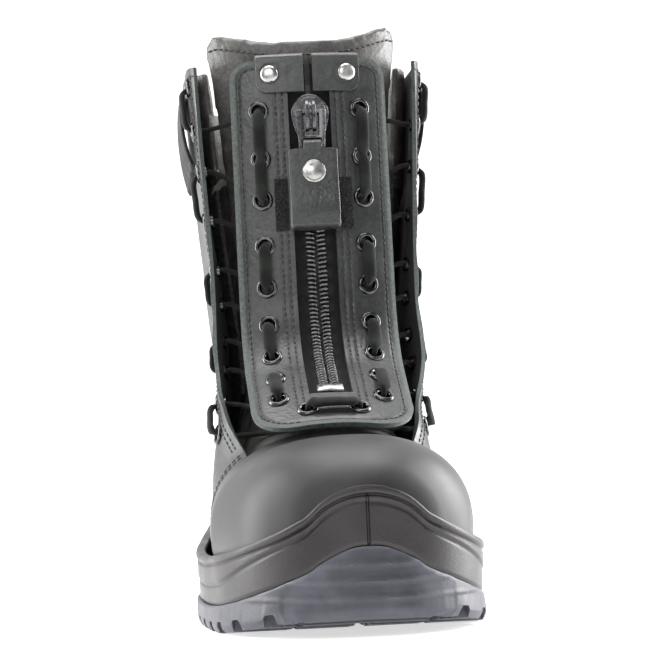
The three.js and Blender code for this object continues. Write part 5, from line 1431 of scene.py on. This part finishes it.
# %% Stitch rows on the panel
def outline_path(inset, count=60):
    """Line round the panel at a distance inside its edge: straight sides and round corners."""
    def corner(cx, cs, r, a0, a1):
        a = np.linspace(a0, a1, count)
        return np.stack([cx + r * np.cos(a), cs + r * np.sin(a)], -1)
    rt, rf = TOP_ROUND - inset, FOOT_ROUND - inset
    low = PANEL_LENGTH - FOOT_ROUND
    side = lambda x, s0, s1: np.stack([np.full(200, x), np.linspace(s0, s1, 200)], -1)
    edge = PANEL_HALF - inset
    return np.concatenate([
        [(24.5, inset)], corner(PANEL_HALF - TOP_ROUND, TOP_ROUND, rt, -math.pi / 2, 0),
        side(edge, TOP_ROUND, low),
        corner(PANEL_HALF - FOOT_ROUND, low, rf, 0, math.pi / 2),
        corner(FOOT_ROUND - PANEL_HALF, low, rf, math.pi / 2, math.pi), side(-edge, low, TOP_ROUND),
        corner(TOP_ROUND - PANEL_HALF, TOP_ROUND, rt, math.pi, 1.5 * math.pi), [(-24.5, inset)]])


def panel_row(name, path):
    """Row of stitches on the panel's face."""
    x, s = path.T
    at = off_panel(x, s, PANEL_THICK + panel_relief(x, s))
    stitches(name, at, square_to_panel(x, s), BLACK_THREAD, 2.9, 2.1, 0.42, slot="textile")


panel_row("stitch_binding", outline_path(3.6))
for side, which in ((1, "inner"), (-1, "outer")):
    for number, x in enumerate((11.7, 14.7)):
        s = np.linspace(16, SLOT_END + 7.5, 300)
        panel_row(f"stitch_slot_{which}_{number + 1}", np.stack([side * x + 0 * s, s], -1))


# %% Stitch rows on the upper
def skin_row(name, v, t, depth, finish=BLACK_THREAD, winged=False, **more):
    """Row of stitches on the boot's surface along a line of sections and angles."""
    at = boot_skin(v, t, depth, winged)
    stitches(name, at, unit(boot_skin(v, t, depth + 1, winged) - at), finish, slot="textile", **more)


for which, side in (("inner", 1), ("outer", -1)):
    v = np.linspace(6.1, 12.85, 400)
    for number, back in enumerate((3.0, 5.2)):
        t_fine = np.linspace(QUARTER_FRONT, 1.5, 200)
        run = lengths(boot_skin(v[:, None] + 0 * t_fine, side * t_fine + 0 * v[:, None], 0.0, True), 1)
        t = np.array([np.interp(back, r, t_fine) for r in run])
        skin_row(f"stitch_front_{which}_{number + 1}", v, side * t, worn_folds(v, side * t), winged=True)
    t = np.linspace(0.86, math.pi - 0.02, 400)
    v = shaft_edge(12.86 + 0 * t, t)
    skin_row(f"stitch_top_{which}", v, side * t, 0.0, winged=True)
    v = np.linspace(6.2, 12.5, 300)
    skin_row(f"stitch_back_{which}", v, side * (math.pi - 0.09) + 0 * v,
             worn_folds(v, side * (math.pi - 0.09)),
             winged=True)
    t = np.linspace(0.84, 2.25, 300)
    for number, v_row in enumerate((THROAT + 0.12, THROAT + 0.2)):
        v = v_row + 0 * t
        skin_row(f"stitch_vamp_{which}_{number + 1}", v, side * t, worn_folds(v, side * t), winged=True)
t = np.linspace(math.pi - 0.66, math.pi + 0.66, 200)
skin_row("stitch_heel_cover", 10.88 + 0 * t, t, COVER_OUT)
t = np.linspace(-0.86, 0.86, 200)
skin_row("stitch_tongue_top", tongue_top(13.42 + 0 * t, t), t, 0.2, length=2.4)
print("stitch rows made")

# %% [markdown]
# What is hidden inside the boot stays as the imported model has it, with the right materials:
# steel for the shank and the toe cap, fibre board, and foam round the ankle.

# %% Materials of the hidden nodes
for finish, names in ((STEEL, ["shank", "toe_cap"]), (BOARD, ["insole_board", "heel_counter"]),
                      (FOAM, ["ankle_foam_inner", "ankle_foam_outer"])):
    for name in names:
        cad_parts[name].data.materials.clear()
        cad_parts[name].data.materials.append(finish)

# %% Floor
bend = np.linspace(0, math.pi / 2, 24)
sweep_y = np.concatenate([[-3.0], 1.0 + 0.8 * np.sin(bend), [1.8]])
sweep_z = np.concatenate([[0.0], 0.8 * (1 - np.cos(bend)), [4.0]])
sweep = np.stack([np.stack([x + 0 * sweep_y, sweep_y, sweep_z], -1) for x in (-3.5, 3.5)], 1)
floor_mesh = bpy.data.meshes.new("floor")
floor_mesh.from_pydata(sweep.reshape(-1, 3).tolist(), [], [[2 * i, 2 * i + 1, 2 * i + 3, 2 * i + 2]
                                                         for i in range(len(sweep) - 1)])
floor_mesh.polygons.foreach_set("use_smooth", np.ones(len(floor_mesh.polygons), bool))
floor = bpy.data.objects.new("floor", floor_mesh)
bpy.context.collection.objects.link(floor)
floor_finish, _, floor_shader = start("white_sweep_paper", "f4f4f4", 0.9)
floor_shader.inputs["Emission Color"].default_value = (1, 1, 1, 1)
floor_shader.inputs["Emission Strength"].default_value = 0.62
floor_mesh.materials.append(floor_finish)
